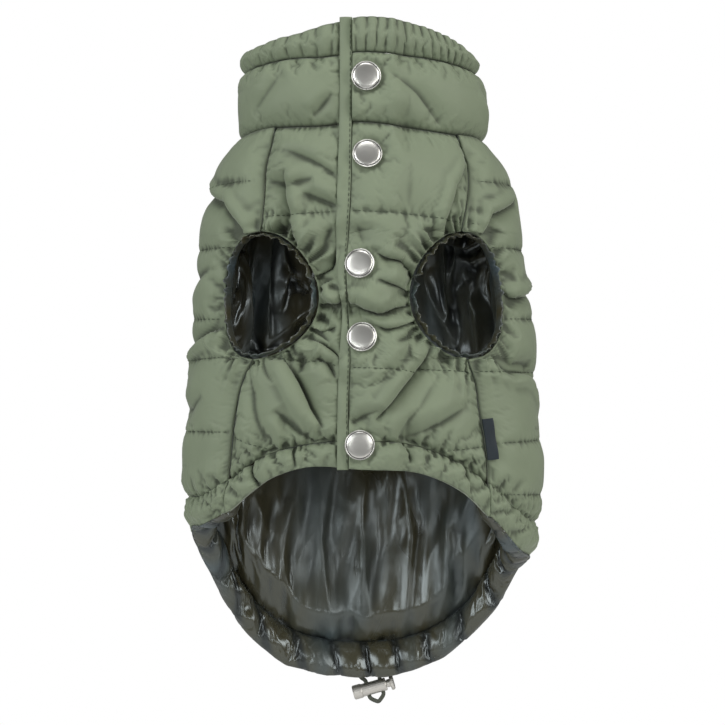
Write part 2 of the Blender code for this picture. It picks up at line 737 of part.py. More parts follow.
def cord_lock(steel, dark_steel):
    """The barrel with its bore and two cross holes, and the plunger with its two slots."""
    start, axis, frame = lock_frame()
    r, n = BARREL_RADIUS, BARREL_LENGTH
    barrel = turned("lock_barrel", ((0, 0), (r - 0.5, 0), (r, 0.5), (r, 4.4), (r - 0.35, 4.8),
                                    (r - 0.35, n - 0.4), (r - 0.7, n), (0, n)),
                    LOCK_SEGMENTS, steel)
    barrel.matrix_world = frame
    bore_length = n - BORE_START + 2.0
    bore = cutter("bore_cutter", cylinder(BORE_RADIUS, bore_length),
                  frame @ Matrix.Translation((0, 0, (BORE_START + bore_length / 2) * MM)))
    cut(barrel, bore)
    for number, along in enumerate(HOLES, start=1):
        hole = cutter(f"hole_cutter_{number}", cylinder(HOLE_RADIUS, 4 * r),
                      frame @ Matrix.Translation((0, 0, along * MM))
                      @ Matrix.Rotation(math.radians(90), 4, "Y"))
        cut(barrel, hole)
    rod_end = BORE_START + GAP + TRAVEL
    neck_end = n + GAP + TRAVEL
    plunger = turned("lock_plunger", ((0, rod_end), (ROD_RADIUS, rod_end), (ROD_RADIUS, neck_end),
                                      (HEAD_RADIUS - 0.4, neck_end),
                                      (HEAD_RADIUS, neck_end + 0.4),
                                      (HEAD_RADIUS, neck_end + HEAD_THICK - 0.5),
                                      (HEAD_RADIUS - 0.6, neck_end + HEAD_THICK),
                                      (0, neck_end + HEAD_THICK)), LOCK_SEGMENTS, dark_steel)
    plunger.matrix_world = frame
    for number, along in enumerate(HOLES, start=1):
        length = 2 * HOLE_RADIUS + TRAVEL

        def slot(bm):
            bmesh.ops.create_cube(bm, size=1.0)
            bmesh.ops.scale(bm, verts=bm.verts,
                            vec=(4 * ROD_RADIUS * MM, 2 * HOLE_RADIUS * MM, length * MM))
        tool = cutter(f"slot_cutter_{number}", slot,
                      frame @ Matrix.Translation((0, 0, (along - HOLE_RADIUS + length / 2) * MM)))
        cut(plunger, tool)


def smooth_route(points, steps):
    """Points on a smooth curve through the route's own points."""
    points = np.array(points, dtype=float)
    lengths = np.concatenate([[0.0], np.cumsum(np.linalg.norm(np.diff(points, axis=0), axis=1))])
    along = np.linspace(0.0, lengths[-1], steps)
    return np.stack([through(along, lengths, points[:, k]) for k in range(3)], axis=1)


def cord_route():
    """The drawcord's free stretch: down through one hole, round a small loop and up through
    the other."""
    tilt = math.radians(LOCK_TILT)
    axis = np.array([math.cos(tilt), 0.0, math.sin(tilt)])
    down = np.array([math.sin(tilt), 0.0, -math.cos(tilt)])
    start = np.array([LOCK_START[0], LOCK_BEHIND, LOCK_START[1]])
    first, second = (start + along * axis for along in HOLES)
    r = BARREL_RADIUS
    return [
        (-1.6, LOCK_BEHIND, -276.9),
        (-0.3, LOCK_BEHIND, -278.3),
        tuple(first - down * (r + 0.6)),
        tuple(first - down * (0.5 * r)),
        tuple(first + down * (0.5 * r)),
        tuple(first + down * (r + 0.8)),
        tuple(0.72 * first + 0.28 * second + down * (r + 3.0)),
        tuple(0.5 * first + 0.5 * second + down * (r + 3.9)),
        tuple(0.28 * first + 0.72 * second + down * (r + 3.0)),
        tuple(second + down * (r + 0.8)),
        tuple(second + down * (0.5 * r)),
        tuple(second - down * (0.5 * r)),
        (9.0, LOCK_BEHIND, -278.2),
        (8.9, LOCK_BEHIND, -277.4),
    ]


def draw_cord(mat):
    curve = bpy.data.curves.new("draw_cord", "CURVE")
    curve.dimensions = "3D"
    curve.bevel_depth = CORD_RADIUS * MM
    curve.bevel_resolution = 2
    curve.use_fill_caps = True
    points = smooth_route(cord_route(), 26) * MM
    spline = curve.splines.new("POLY")
    spline.points.add(len(points) - 1)
    for item, point in zip(spline.points, points):
        item.co = (*point, 1.0)
    curve.materials.append(mat)
    obj = bpy.data.objects.new("draw_cord", curve)
    bpy.context.collection.objects.link(obj)


def cord_outlet(mat):
    """The short cloth sleeve under the hem that the cord goes back into."""
    sleeve = turned("cord_outlet", ((0, 0), (1.7, 0), (2.1, 0.6), (2.1, 2.0), (1.6, 2.4), (0, 2.4)),
                    12, mat)
    sleeve.matrix_world = Matrix.Translation(Vector((8.9, LOCK_BEHIND, -277.0)) * MM)


def cord_tape(mat):
    """A pale tape on the outside of the hem, over the place where the cord comes out."""
    heights = np.array([-263.0, -266.0, -269.0, -272.0, -276.4])[:, None]
    angles = np.linspace(175.4, 192.6, 5)
    full = heights + 0 * angles
    down = np.clip((level(180.0, "hem_seam") - full) /
                   (level(180.0, "hem_seam") - level(180.0, "hem")), 0.0, 1.0)
    outer_band = hem_offsets(0)(angles + 0 * full, full, down)[1]
    inner = outer_band + GAP + 0.3
    wall("cord_tape", place(angles + 0 * full, full, inner + 0.8),
         place(angles + 0 * full, full, inner), mat)


# ================================ the whole vest ===============================================

def main():
    for obj in list(bpy.data.objects):
        bpy.data.objects.remove(obj)
    shell = material("olive padded shell", (0.212, 0.258, 0.178), 0.62)
    lining = material("dark glossy lining", (0.052, 0.058, 0.052), 0.28)
    nickel = material("nickel snap", (0.62, 0.62, 0.60), 0.28, 1.0)
    steel = material("satin silver", (0.68, 0.68, 0.66), 0.35, 1.0)
    woven = material("navy woven label", (0.022, 0.032, 0.042), 0.8)
    cord_cloth = material("braided cord", (0.09, 0.10, 0.08), 0.8)
    tape = material("pale tape", (0.72, 0.77, 0.78), 0.6)

    front_piece("front_left", -1, shell)
    front_piece("front_right", 1, shell)
    back_piece(shell)
    back_lining(lining)
    band("collar", collar_edges(), "casing_seam", "neck_seam", 38, 5, collar_offsets, shell)
    band("collar_casing", collar_edges(), "collar_top", "casing_seam", 3 * CASING_WAVES, 3,
         casing_offsets, shell)
    band("hem_band_left", front_edges(-1), "hem_seam", "hem", 18, 3, hem_offsets(-1), shell,
         FRONT_GRID[0])
    band("hem_band_right", front_edges(1), "hem_seam", "hem", 18, 3, hem_offsets(1), shell,
         FRONT_GRID[0])
    band("hem_band_back", back_edges(), "hem_seam", "hem", 3 * BACK_GRID[0], 3, hem_offsets(0), shell,
         BACK_GRID[0])
    band("hem_roll", back_edges(), "hem_seam", "hem", 3 * BACK_GRID[0], 3, roll_offsets, lining,
         BACK_GRID[0])
    placket_strip(shell)
    armhole_frill("armhole_frill_left", -1, lining)
    armhole_frill("armhole_frill_right", 1, lining)
    label(woven)
    snaps(nickel)
    cord_lock(steel, steel)
    draw_cord(cord_cloth)
    cord_outlet(shell)
    cord_tape(tape)


main()
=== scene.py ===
"""The looks of a quilted dog vest, worn and filled out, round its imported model.

Frame: metres, +Z up, the snapped front faces -Y. Tables and sizes in capitals are in mm and
degrees: a place on the vest is an angle round the body (0 at the front, positive towards +X)
and a height, and cloth lies at an offset from the body form, square to it.
"""
import math

import bpy
import numpy as np
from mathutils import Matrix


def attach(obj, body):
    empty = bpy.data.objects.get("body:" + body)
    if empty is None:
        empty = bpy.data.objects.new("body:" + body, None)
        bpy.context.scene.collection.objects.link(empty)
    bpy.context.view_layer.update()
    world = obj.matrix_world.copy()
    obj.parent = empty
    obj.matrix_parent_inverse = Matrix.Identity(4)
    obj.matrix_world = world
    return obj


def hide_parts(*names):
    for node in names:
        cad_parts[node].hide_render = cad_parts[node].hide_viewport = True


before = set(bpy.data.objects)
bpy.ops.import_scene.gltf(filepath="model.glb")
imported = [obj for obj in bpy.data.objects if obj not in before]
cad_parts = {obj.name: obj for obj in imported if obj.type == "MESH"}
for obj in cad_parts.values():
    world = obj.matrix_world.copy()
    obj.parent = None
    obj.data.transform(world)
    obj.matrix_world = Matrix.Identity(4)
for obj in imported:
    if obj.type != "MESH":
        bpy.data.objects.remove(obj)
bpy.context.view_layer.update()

bl_info = {
    "name": "Quilted Dog Vest",
    "version": (1, 0, 0),
    "blender": (4, 5, 0),
    "location": "3D View > Sidebar > Vest",
    "description": "Makes the cloth, fasteners and cord of a quilted dog vest",
    "category": "Add Mesh",
}

MM = 0.001
BODY = "vest"                # everything rides on the vest but the cord lock's plunger

# --- body form: the plain inner face of the cloth, filled out --------------------------------
SECTION_COLUMNS = ("height", "left", "right", "front", "back")
SECTIONS = (
    (56, 52.0, 49.0, 30.0, 31.0),
    (40, 54.0, 51.5, 31.0, 32.0),
    (27, 56.0, 54.5, 32.0, 33.0),
    (15, 56.0, 57.0, 33.0, 34.0),
    (0, 57.0, 57.5, 34.0, 35.0),
    (-10, 60.5, 59.0, 36.0, 37.0),
    (-21, 66.5, 65.0, 39.0, 41.0),
    (-33, 70.5, 70.0, 42.0, 44.0),
    (-51, 74.5, 73.0, 44.0, 46.0),
    (-75, 76.0, 76.0, 45.0, 48.0),
    (-105, 79.0, 80.0, 46.0, 50.0),
    (-135, 81.0, 80.5, 46.5, 51.0),
    (-165, 83.0, 84.5, 46.5, 51.0),
    (-190, 82.0, 82.8, 46.0, 49.5),
    (-215, 80.5, 80.0, 44.0, 46.0),
    (-240, 77.5, 79.5, 40.0, 41.0),
    (-258, 73.5, 74.0, 35.0, 35.0),
    (-276, 69.5, 70.0, 28.0, 27.5),
)

# --- level lines round the body ----------------------------------------------------------------
LEVEL_COLUMNS = ("angle", "collar_top", "casing_seam", "neck_seam", "hem_seam", "hem")
LEVELS = (
    (-180, 42.0, 29.0, -6.0, -260.5, -274.0),
    (-170, 42.0, 29.0, -6.0, -260.0, -273.5),
    (-155, 42.0, 29.0, -6.0, -256.0, -270.5),
    (-140, 42.0, 29.0, -6.0, -245.0, -262.5),
    (-125, 41.0, 28.5, -6.0, -225.0, -247.0),
    (-110, 40.0, 28.0, -6.0, -202.0, -222.0),
    (-90, 39.0, 27.5, -5.5, -185.0, -201.0),
    (-65, 39.5, 29.5, -3.0, -181.0, -195.5),
    (-50, 42.0, 31.0, -1.5, -173.0, -188.0),
    (-35, 44.0, 32.0, -1.5, -161.5, -174.5),
    (-20, 47.5, 32.0, -1.5, -156.0, -167.0),
    (0, 51.0, 34.0, 0.0, -153.7, -167.5),
    (20, 50.0, 33.0, -2.0, -157.0, -170.0),
    (35, 47.5, 32.0, -3.5, -166.0, -179.0),
    (50, 44.0, 30.5, -4.7, -178.5, -194.0),
    (65, 40.0, 29.0, -5.0, -190.0, -207.0),
    (90, 36.0, 27.5, -7.0, -197.0, -214.5),
    (110, 38.0, 28.0, -6.5, -206.0, -223.5),
    (125, 40.0, 28.5, -6.0, -223.5, -243.5),
    (140, 41.0, 29.0, -6.0, -243.0, -259.5),
    (155, 42.0, 29.0, -6.0, -255.0, -269.0),
    (170, 42.0, 29.0, -6.0, -260.0, -273.5),
    (180, 42.0, 29.0, -6.0, -260.5, -274.0),
)

# --- seams from front to back pieces, degrees by height ---------------------------------------
SEAM_COLUMNS = ("height", "left", "right")
SEAMS = (
    (5, -48.0, 52.0),
    (-14, -45.0, 53.0),
    (-35, -41.0, 46.0),
    (-55, -40.0, 40.0),
    (-115, -41.0, 39.0),
    (-126, -45.5, 42.5),
    (-140, -47.8, 43.8),
    (-165, -49.5, 45.0),
    (-180, -51.5, 46.0),
    (-215, -54.0, 50.0),
)

# --- armholes: middle height, half height, and edges in degrees, left -1 and right 1 -----------
ARMHOLE_HEIGHT = -83.7
ARMHOLE_HALF = 31.0
ARMHOLE_FRONT = {-1: 15.5, 1: 17.0}
ARMHOLE_BACK = {-1: 58.5, 1: 60.0}
FRILL_INSET = 1.5
ARMHOLE_DRAW = 14.0          # mm from an armhole, and ...
HEM_DRAW = 16.0              # ... from the hem's seam, over which the cloth is gathered

# --- front opening: the stitched strip's free edge and its stitch line, across ------------------
STRIP_COLUMNS = ("height", "free_edge", "stitch_line")
STRIP = (
    (50, -10.3, -4.6),
    (0, -10.5, -4.8),
    (-35, -11.5, -5.3),
    (-75, -11.6, -7.4),
    (-88, -9.6, -7.0),
    (-110, -10.3, -5.6),
    (-135, -11.3, -6.3),
    (-170, -11.6, -6.3),
)
UNDERLAP = 11.0              # how far the under front reaches past the middle
LIFT = 3.5                   # height of the over front above the form
LIFT_FULL = 13.0             # the lift is full on this side of the opening ...
LIFT_ENDS = 22.0             # ... and has run out here
PRESS_MARGIN = 1.5           # the under front lies flat from here inside the strip's edge ...
PRESS_FADE = 4.0             # ... and is free this much further out

# --- cloth thicknesses ---------------------------------------------------------------------------
GAP = 0.3
SEAM_TRIM = 0.12
LINING_TRIM = -0.25          # the lining reaches over the seams, where its edges are sewn in
LINING = 1.0
BACK_INNER = LINING + GAP
SEAT = 2.3                   # padded cloth pressed flat under a snap or another layer
SEAM_SINK = 1.8              # seams are drawn in this much more, with SEAM_REACH to each side
SEAM_REACH = 2.0
SEAM_WALL = 1.1              # padded cloth drawn together by stitches
QUILT_SPREAD = 5.5           # distance from a seam over which the padding fills out
THINNEST = 0.6               # padded cloth at the bottom of a fold
PAINTED_SHADE_DEPTH = 0.8           # painted shade: a place this much below its surroundings is painted as dark as folds get

# --- quilting lines: angle and height of one end and of the other, and the share of the rise that
# the line sinks by -------------------------------------------------------------------------------
QUILTING = (
    (-44, -46.0, -5, -43.5, 0.22), (-5, -43.5, 12, -44.5, 0.22), (12, -44.5, 48, -49.0, 0.22),
    (-44, -112.0, -5, -118.5, 0.24), (-5, -118.5, 20, -119.5, 0.24),
    (20, -119.5, 42, -121.0, 0.24),
    (-50, -151.5, -33, -158.0, 0.22), (14, -160.5, 48, -156.5, 0.22),
    (52, -28.0, 180, -30.0, 0.22), (180, -30.0, 314, -28.0, 0.22),
    (40, -60.0, 180, -62.0, 0.24), (180, -62.0, 318, -60.0, 0.24),
    (58, -95.0, 180, -94.0, 0.24), (180, -94.0, 300, -95.0, 0.24),
    (42, -120.5, 180, -123.0, 0.24), (180, -123.0, 314, -113.0, 0.24),
    (44, -155.5, 180, -152.0, 0.24), (180, -152.0, 310, -150.0, 0.24),
    (46, -180.0, 180, -187.0, 0.24), (180, -187.0, 270, -184.0, 0.24),
    (105, -224.0, 180, -222.0, 0.24), (180, -222.0, 250, -222.0, 0.24),
)

# --- folds: depth, width of the soft flank, width of the steep flank, and the places it runs
# through; the steep flank is on the right of the way along it and leans over the valley --------
FRONT_FOLDS = (              # places are across and height
    (2.0, 5.0, 2.6, ((-9, -27), (-16, -23.5), (-24, -19.5), (-37, -13))),
    (2.2, 4.5, 2.2, ((-22, -28), (-33, -30.5), (-45, -28.5))),
    (4.2, 6.0, 1.5, ((-31, -60), (-33, -41), (-35.5, -31), (-35, -23))),
    (2.6, 4.5, 2.2, ((-9, -42), (-17, -39), (-27, -34.5))),
    (2.6, 3.0, 2.0, ((-35, -48), (-44, -57))),
    (2.6, 4.5, 2.5, ((-14, -50), (-19, -60), (-26, -69))),
    (3.4, 4.0, 1.5, ((-10, -60), (-15, -70), (-25, -76))),
    (2.6, 3.0, 2.0, ((-15, -80), (-8, -82))),
    (4.4, 3.6, 1.5, ((27, -88), (16, -89), (9, -91.5), (3, -89.5), (-2, -86.5), (-12, -87),
                     (-27, -88.5))),
    (2.6, 3.0, 2.0, ((-27, -91), (-16, -97))),
    (2.2, 3.0, 1.8, ((-28, -79), (-19, -80), (-13, -76))),
    (1.8, 2.6, 2.0, ((-27, -84), (-18, -83.5))),
    (2.4, 3.0, 1.8, ((-12, -99), (-19, -101), (-26, -99))),
    (2.2, 3.0, 1.8, ((-24, -114), (-17, -117), (-12, -124))),
    (3.4, 3.0, 1.5, ((-27, -105), (-16, -110.5), (-9, -115))),
    (2.0, 2.5, 1.6, ((-26, -101), (-15, -107))),
    (4.8, 6.0, 1.6, ((-38, -113), (-31, -127), (-25, -139), (-18, -148))),
    (1.8, 2.5, 2.0, ((-29, -111), (-29, -122))),
    (1.8, 4.5, 3.0, ((-53, -119), (-50, -139), (-46, -153), (-45, -164))),
    (2.6, 3.5, 2.0, ((-40, -139), (-30, -149), (-22, -155))),
    (3.8, 5.0, 1.5, ((49, -20), (42.5, -31), (40, -41), (39, -50), (39, -60))),
    (3.8, 4.0, 1.4, ((29, -80), (24.5, -73.5), (18, -67), (4, -63.5))),
    (3.0, 3.5, 1.8, ((28, -84), (22, -81.5), (15, -78.5), (6, -76))),
    (3.0, 3.5, 1.6, ((27, -96), (18, -98.5), (11, -99.7), (3, -98))),
    (2.4, 3.0, 2.0, ((15, -106), (29, -104))),
    (1.6, 3.0, 2.0, ((7, -108), (4.5, -118))),
    (4.6, 5.0, 1.3, ((33, -109), (24, -120), (18, -127), (13, -134.5), (6, -144))),
    (2.6, 4.0, 2.0, ((9, -137), (2, -141), (-7, -147))),
    (1.6, 6.0, 5.0, ((36, -122), (26, -138), (16, -152))),
    (2.2, 5.0, 3.0, ((49, -137), (35, -146), (18, -154))),
    (1.4, 4.0, 3.0, ((-2, -50), (1, -61))),
)
SIDE_FOLDS = (               # places are angle and height
    (4.4, 6.0, 1.6, ((317, -62), (312.5, -51), (298, -37), (268, -30), (250, -27))),
    (4.2, 5.0, 1.5, ((256, -113), (272, -111), (294, -104), (308, -96.5), (316, -92))),
    (4.2, 5.0, 1.5, ((80, -36), (56, -43), (51.5, -50), (49.5, -54), (49, -62))),
    (4.6, 3.6, 1.4, ((104, -76), (90, -79), (74, -83), (65, -84), (56, -77))),
    (3.8, 5.0, 2.0, ((46, -109), (51, -115), (61, -120.5), (80, -118))),
    (3.4, 5.0, 1.8, ((62, -121), (76, -124), (86, -131), (98, -139))),
    (1.8, 5.0, 3.0, ((296, -132), (282, -139), (262, -141))),
    (1.6, 5.0, 3.0, ((250, -80), (272, -76), (296, -70))),
    (2.6, 6.0, 2.4, ((100, -66), (124, -74), (158, -77))),
    (2.6, 6.0, 2.4, ((262, -82), (236, -79), (208, -72))),
    (2.4, 6.0, 2.6, ((112, -140), (140, -133), (172, -134))),
    (2.4, 6.0, 2.4, ((196, -162), (222, -170), (246, -168))),
    (2.2, 6.0, 2.4, ((150, -176), (124, -173), (98, -166))),
    (2.0, 5.0, 2.4, ((186, -105), (204, -112), (232, -110))),
    (1.8, 5.0, 2.4, ((130, -40), (158, -46), (190, -44))),
    (1.8, 5.0, 2.4, ((142, -206), (168, -212), (204, -208))),
)
LINING_FOLDS = (             # places are angle and height; they stand up to the inside
    (5.5, 4.5, 1.6, ((141, -52), (139, -70), (142, -97))),
    (4.0, 3.5, 1.8, ((133, -50), (135, -66), (139, -88))),
    (5.0, 6.0, 2.4, ((152, -68), (148, -84), (138, -108))),
    (7.0, 9.0, 3.0, ((127, -74), (121, -90), (124, -112))),
    (4.0, 4.0, 1.6, ((118, -54), (128, -58), (140, -55))),
    (3.4, 3.5, 1.6, ((114, -62), (124, -65), (134, -63))),
    (4.0, 5.0, 2.4, ((112, -108), (128, -114), (146, -110))),
    (5.5, 5.0, 1.6, ((222, -50), (224, -68), (221, -104))),
    (4.5, 4.0, 1.6, ((216, -52), (213, -70), (216, -90))),
    (6.5, 9.0, 3.0, ((238, -60), (240, -84), (234, -112))),
    (3.6, 4.0, 1.8, ((203, -78), (209, -73), (216, -68))),
    (5.0, 7.0, 2.6, ((196, -86), (206, -92), (222, -108))),
    (4.4, 4.0, 1.6, ((238, -106), (228, -112), (214, -109))),
    (3.0, 3.5, 1.6, ((194, -112), (204, -108), (214, -110))),
    (2.4, 7.0, 3.5, ((178, -160), (180, -200), (176, -262))),
    (2.0, 5.0, 2.6, ((190, -164), (196, -206), (192, -266))),
    (2.2, 5.0, 2.4, ((166, -168), (160, -206), (164, -266))),
    (1.6, 4.0, 2.2, ((208, -186), (212, -216), (206, -262))),
    (1.8, 5.0, 2.4, ((148, -180), (143, -210), (150, -258))),
    (1.8, 6.0, 3.0, ((220, -158), (226, -184), (218, -206))),
    (2.0, 6.0, 3.0, ((136, -154), (131, -176), (140, -202))),
    (1.4, 4.0, 2.2, ((180, -222), (184, -240), (180, -254))),
)
COLLAR_FOLDS = (             # places are angle and height
    (2.0, 6.0, 3.5, ((9, 27), (26, 14), (42, -3))),
    (1.4, 4.0, 2.0, ((346, 14), (336, 3))),
    (1.3, 6.0, 3.0, ((320, 26), (308, 14), (298, 6))),
    (1.4, 6.0, 3.0, ((70, 23), (84, 12), (94, 0))),
    (1.4, 7.0, 3.0, ((128, 2), (148, 14), (168, 21))),
    (1.4, 7.0, 3.0, ((203, 23), (224, 12), (248, 5))),
)
FOLD_RADIUS = 65.0           # mm of cloth to a radian round the body, for distances on it
PER_DEGREE = math.radians(FOLD_RADIUS)
FOLD_SCALE = 1.9             # all the folds above are this much deeper

# --- snap fasteners: place across, height, and the slopes across and up of the cloth under each --
SNAPS = (
    (1.9, 22.0, 0.0, 0.0),
    (2.4, -16.0, 0.0, 0.0),
    (-1.0, -69.0, 0.18, -0.16),
    (0.0, -104.0, 0.10, -0.20),
    (-1.0, -155.5, 0.0, 0.0),
)
SNAP_RADIUS = 7.2
SNAP_SEGMENTS = 72
SNAP_LEAN = 12.0             # the cloth leans in full up to here from a snap's middle ...
SNAP_FADE = 24.0             # ... and its lean has run out here

# --- gathers: how many of them lie between the opening and each angle ---------------------------
GATHER_COLUMNS = ("angle", "gathers")
CASING_GATHERS = ((-8, 0.0), (20, 5.5), (60, 13.0), (90, 18.0), (180, 31.0), (270, 43.0),
                  (320, 48.0), (345, 51.0), (372, 54.5))
ROLL_GATHERS = ((40, 0.0), (85, 3.0), (128, 6.3), (180, 10.2), (228, 13.3), (272, 16.9),
                (320, 20.4))

# --- grids: the cloth's cells, in mm -------------------------------------------------------------
CELL = 1.3
BACK_CELL = 2.1
BAND_CELL = 1.2
CASING_CELL = 0.85
BACK_ROUND = 345             # the back's and the hem's width round the body
FRONT_WIDTH = 64
COLLAR_ROUND = 352
FRONT_LENGTHS = (48, 66, 52)   # above, beside and below the armhole, along the cloth
BACK_LENGTHS = (48, 66, 120)
EVEN_ROWS = 0.3              # share of even spacing in the rows beside an armhole

# --- label, cord and cord lock -------------------------------------------------------------------
TAPE_ANGLES = (175.4, 192.6)
TAPE_HEIGHTS = (-263.0, -278.2)
TAPE_SLANT = 1.6
TAPE_OUT = 6.3
TAPE_WALL = 0.6
LABEL_TOP = -143.5
LABEL_BOTTOM = -163.5
LABEL_WIDTH = 4.2
LABEL_LOW = 3.3              # offset of its middle at the seam ...
LABEL_RISE = 5.2             # ... and how much more it would rise on the padding far from it
LOCK_START = (-4.5, -286.2)
LOCK_TILT = 15.6
LOCK_BEHIND = 31.5
BARREL_RADIUS = 3.7
HOLES = (7.7, 14.9)


# ================================ settings a user would change ===================================

def linear(hex_colour):
    """sRGB hex to linear: c / 12.92 up to 0.04045, and ((c + 0.055) / 1.055) ^ 2.4 above."""
    parts = [int(hex_colour[i:i + 2], 16) / 255 for i in (1, 3, 5)]
    return tuple(c / 12.92 if c <= 0.04045 else ((c + 0.055) / 1.055) ** 2.4 for c in parts)


def colour_setting(name, description, hex_colour):
    """A colour that the user can change."""
    return bpy.props.FloatVectorProperty(name=name, description=description, subtype="COLOR",
                                         size=3, min=0.0, max=1.0, default=linear(hex_colour))


def length_setting(name, description, mm):
    """A length that the user can change, given in mm and kept in metres."""
    return bpy.props.FloatProperty(name=name, description=description, subtype="DISTANCE",
                                   unit="LENGTH", default=mm * MM, min=0.0, precision=5)


class VestSizes(bpy.types.PropertyGroup):
    """Sizes of the cloth and its sewing."""
    puff: length_setting("Padding rise", "Rise of the padding between quilting lines", 4.6)
    collar_puff: length_setting("Collar rise", "Rise of the collar's padding", 4.8)
    gather_depth: length_setting("Gather depth", "Depth of the gathers in the collar's casing", 2.4)
    weave: length_setting("Weave", "Spacing of the shell cloth's threads as drawn", 0.9)
    stitch_pitch: length_setting("Stitch pitch", "From one stitch to the next", 2.7)
    stitch_length: length_setting("Stitch length", "Length of one stitch", 1.9)
    thread: length_setting("Thread", "Diameter of the sewing thread", 0.45)
    cord: length_setting("Cord", "Diameter of the drawcord", 2.2)
    slack: bpy.props.FloatProperty(name="Cloth slack", description="Spare cloth in the padding",
                                   default=0.035, min=0.0, max=0.3)
    pressure: bpy.props.FloatProperty(name="Padding pressure", default=4.0, min=0.0, max=50.0,
                                      description="Pressure of the padding in the simulation")


class VestColours(bpy.types.PropertyGroup):
    """Colours of the materials."""
    shell: colour_setting("Shell", "Matte olive shell cloth", "#7C876F")
    lining: colour_setting("Lining", "Glossy lining", "#403D2C")
    # the lining's sheen tint, also painted into its base colour as patches of sheen
    lining_sheen: colour_setting("Lining sheen", "Cool sheen of the lining", "#6F8289")
    thread: colour_setting("Thread", "Sewing thread", "#4A5442")
    label: colour_setting("Label", "Woven label", "#121D24")
    cord: colour_setting("Cord", "Braided drawcord", "#4B4F45")
    tape: colour_setting("Tape", "Pale tape at the hem", "#EEF4F2")
    nickel: colour_setting("Nickel", "Polished snap caps", "#D4D3CD")
    satin: colour_setting("Satin metal", "Cord lock", "#DEDBD4")
    floor: colour_setting("Floor", "Studio floor", "#FAFAFA")


# ================================ curves and the body form ======================================

def column(table, names, name):
    """One named column of a table as an array."""
    return np.array([row[names.index(name)] for row in table], dtype=float)


def through(x, xs, ys):
    """A smooth curve through points: on each stretch a cubic whose end slopes are the points'
    own average slopes."""
    if xs[0] > xs[-1]:
        xs, ys = xs[::-1], ys[::-1]
    slopes = np.gradient(ys, xs)
    x = np.clip(x, xs[0], xs[-1])
    i = np.clip(np.searchsorted(xs, x) - 1, 0, len(xs) - 2)
    step = xs[i + 1] - xs[i]
    t = (x - xs[i]) / step
    rise = t * t * (3 - 2 * t)
    bend = step * t * (1 - t) * ((1 - t) * slopes[i] - t * slopes[i + 1])
    return ys[i] + (ys[i + 1] - ys[i]) * rise + bend


def ease(t):
    """0 up to t = 0, 1 from t = 1, and 3 t^2 - 2 t^3 between."""
    t = np.clip(t, 0.0, 1.0)
    return t * t * (3 - 2 * t)


def curve(table, names, x, name):
    """A named column of a table as a smooth curve over its first column."""
    return through(x, column(table, names, names[0]), column(table, names, name))


def size_at(height, name):
    """A half-width or a depth of the body form at a height."""
    return curve(SECTIONS, SECTION_COLUMNS, height, name)


def level(angle, name):
    """Height of a level line at an angle."""
    wrapped = (np.asarray(angle, dtype=float) + 180.0) % 360.0 - 180.0
    return curve(LEVELS, LEVEL_COLUMNS, wrapped, name)


def seam_angle(height, side):
    """Angle of the left (-1) or the right (1) side seam at a height."""
    return curve(SEAMS, SEAM_COLUMNS, height, "left" if side < 0 else "right")


def strip_line(height, name):
    """How far across one of the strip's two lines lies at a height."""
    return curve(STRIP, STRIP_COLUMNS, height, name)


def widths(angle, height):
    """Half-width and depth of the oval that a place lies on."""
    turn = np.radians(angle)
    wide = np.where(np.sin(turn) < 0, size_at(height, "left"), size_at(height, "right"))
    deep = np.where(np.cos(turn) > 0, size_at(height, "front"), size_at(height, "back"))
    return wide, deep


def outward(angle, height):
    """Level direction square to the oval: (sin a / width, -cos a / depth), made one long."""
    turn = np.radians(angle)
    wide, deep = widths(angle, height)
    flat = np.stack([np.sin(turn) / wide, -np.cos(turn) / deep, 0.0 * wide], axis=-1)
    return flat / np.linalg.norm(flat, axis=-1, keepdims=True)


def place(angle, height, offset):
    """Points in metres: (width sin a, -depth cos a, height), moved out square to the oval."""
    turn = np.radians(angle)
    wide, deep = widths(angle, height)
    height = np.asarray(height) + 0 * wide
    points = np.stack([wide * np.sin(turn), -deep * np.cos(turn), height], axis=-1)
    return (points + outward(angle, height) * np.asarray(offset)[..., None]) * MM


def angle_across(across, height):
    """The angle at the front of a place so many mm to the side of the middle."""
    side = np.where(np.asarray(across) < 0, size_at(height, "left"), size_at(height, "right"))
    return np.degrees(np.arcsin(across / side))


def across_of(angle, height):
    """How far to the side of the middle a place lies: width * sin(angle)."""
    return widths(angle, height)[0] * np.sin(np.radians(angle))


def gap_angle(height):
    """Half of the gap at a side seam, as an angle."""
    return math.degrees(0.4 * GAP / FOLD_RADIUS) + 0 * height


# ================================ padding, creases and seats =====================================

def line_distance(angle, height, ax, az, bx, bz):
    """Signed distance in mm on the cloth to a straight stretch, positive on its left, how far
    along it, from 0 to 1, and the two steps from it to the place."""
    ax, bx, px, pz = ax * PER_DEGREE, bx * PER_DEGREE, angle * PER_DEGREE, height
    length = (bx - ax) ** 2 + (bz - az) ** 2
    along = np.clip(((px - ax) * (bx - ax) + (pz - az) * (bz - az)) / length, 0.0, 1.0)
    dx, dz = px - ax - along * (bx - ax), pz - az - along * (bz - az)
    side = np.where((bx - ax) * dz - (bz - az) * dx < 0, -1.0, 1.0)
    return np.hypot(dx, dz) * side, along, dx, dz


def padding(angle, height, edge):
    """1 on the crown and 0 on a seam; a quilting line sinks by its own share:
    1 - share * exp(-(distance / 0.7 QUILT_SPREAD) ^ 1.3), the least of them all."""
    pad = 1.0 - np.exp(-(edge / QUILT_SPREAD) ** 1.3)
    for a1, z1, a2, z2, sink in QUILTING:
        away = np.abs(line_distance(angle, height, a1, z1, a2, z2)[0])
        pad = np.minimum(pad, 1.0 - sink * np.exp(-(away / (0.7 * QUILT_SPREAD)) ** 1.3))
    return pad


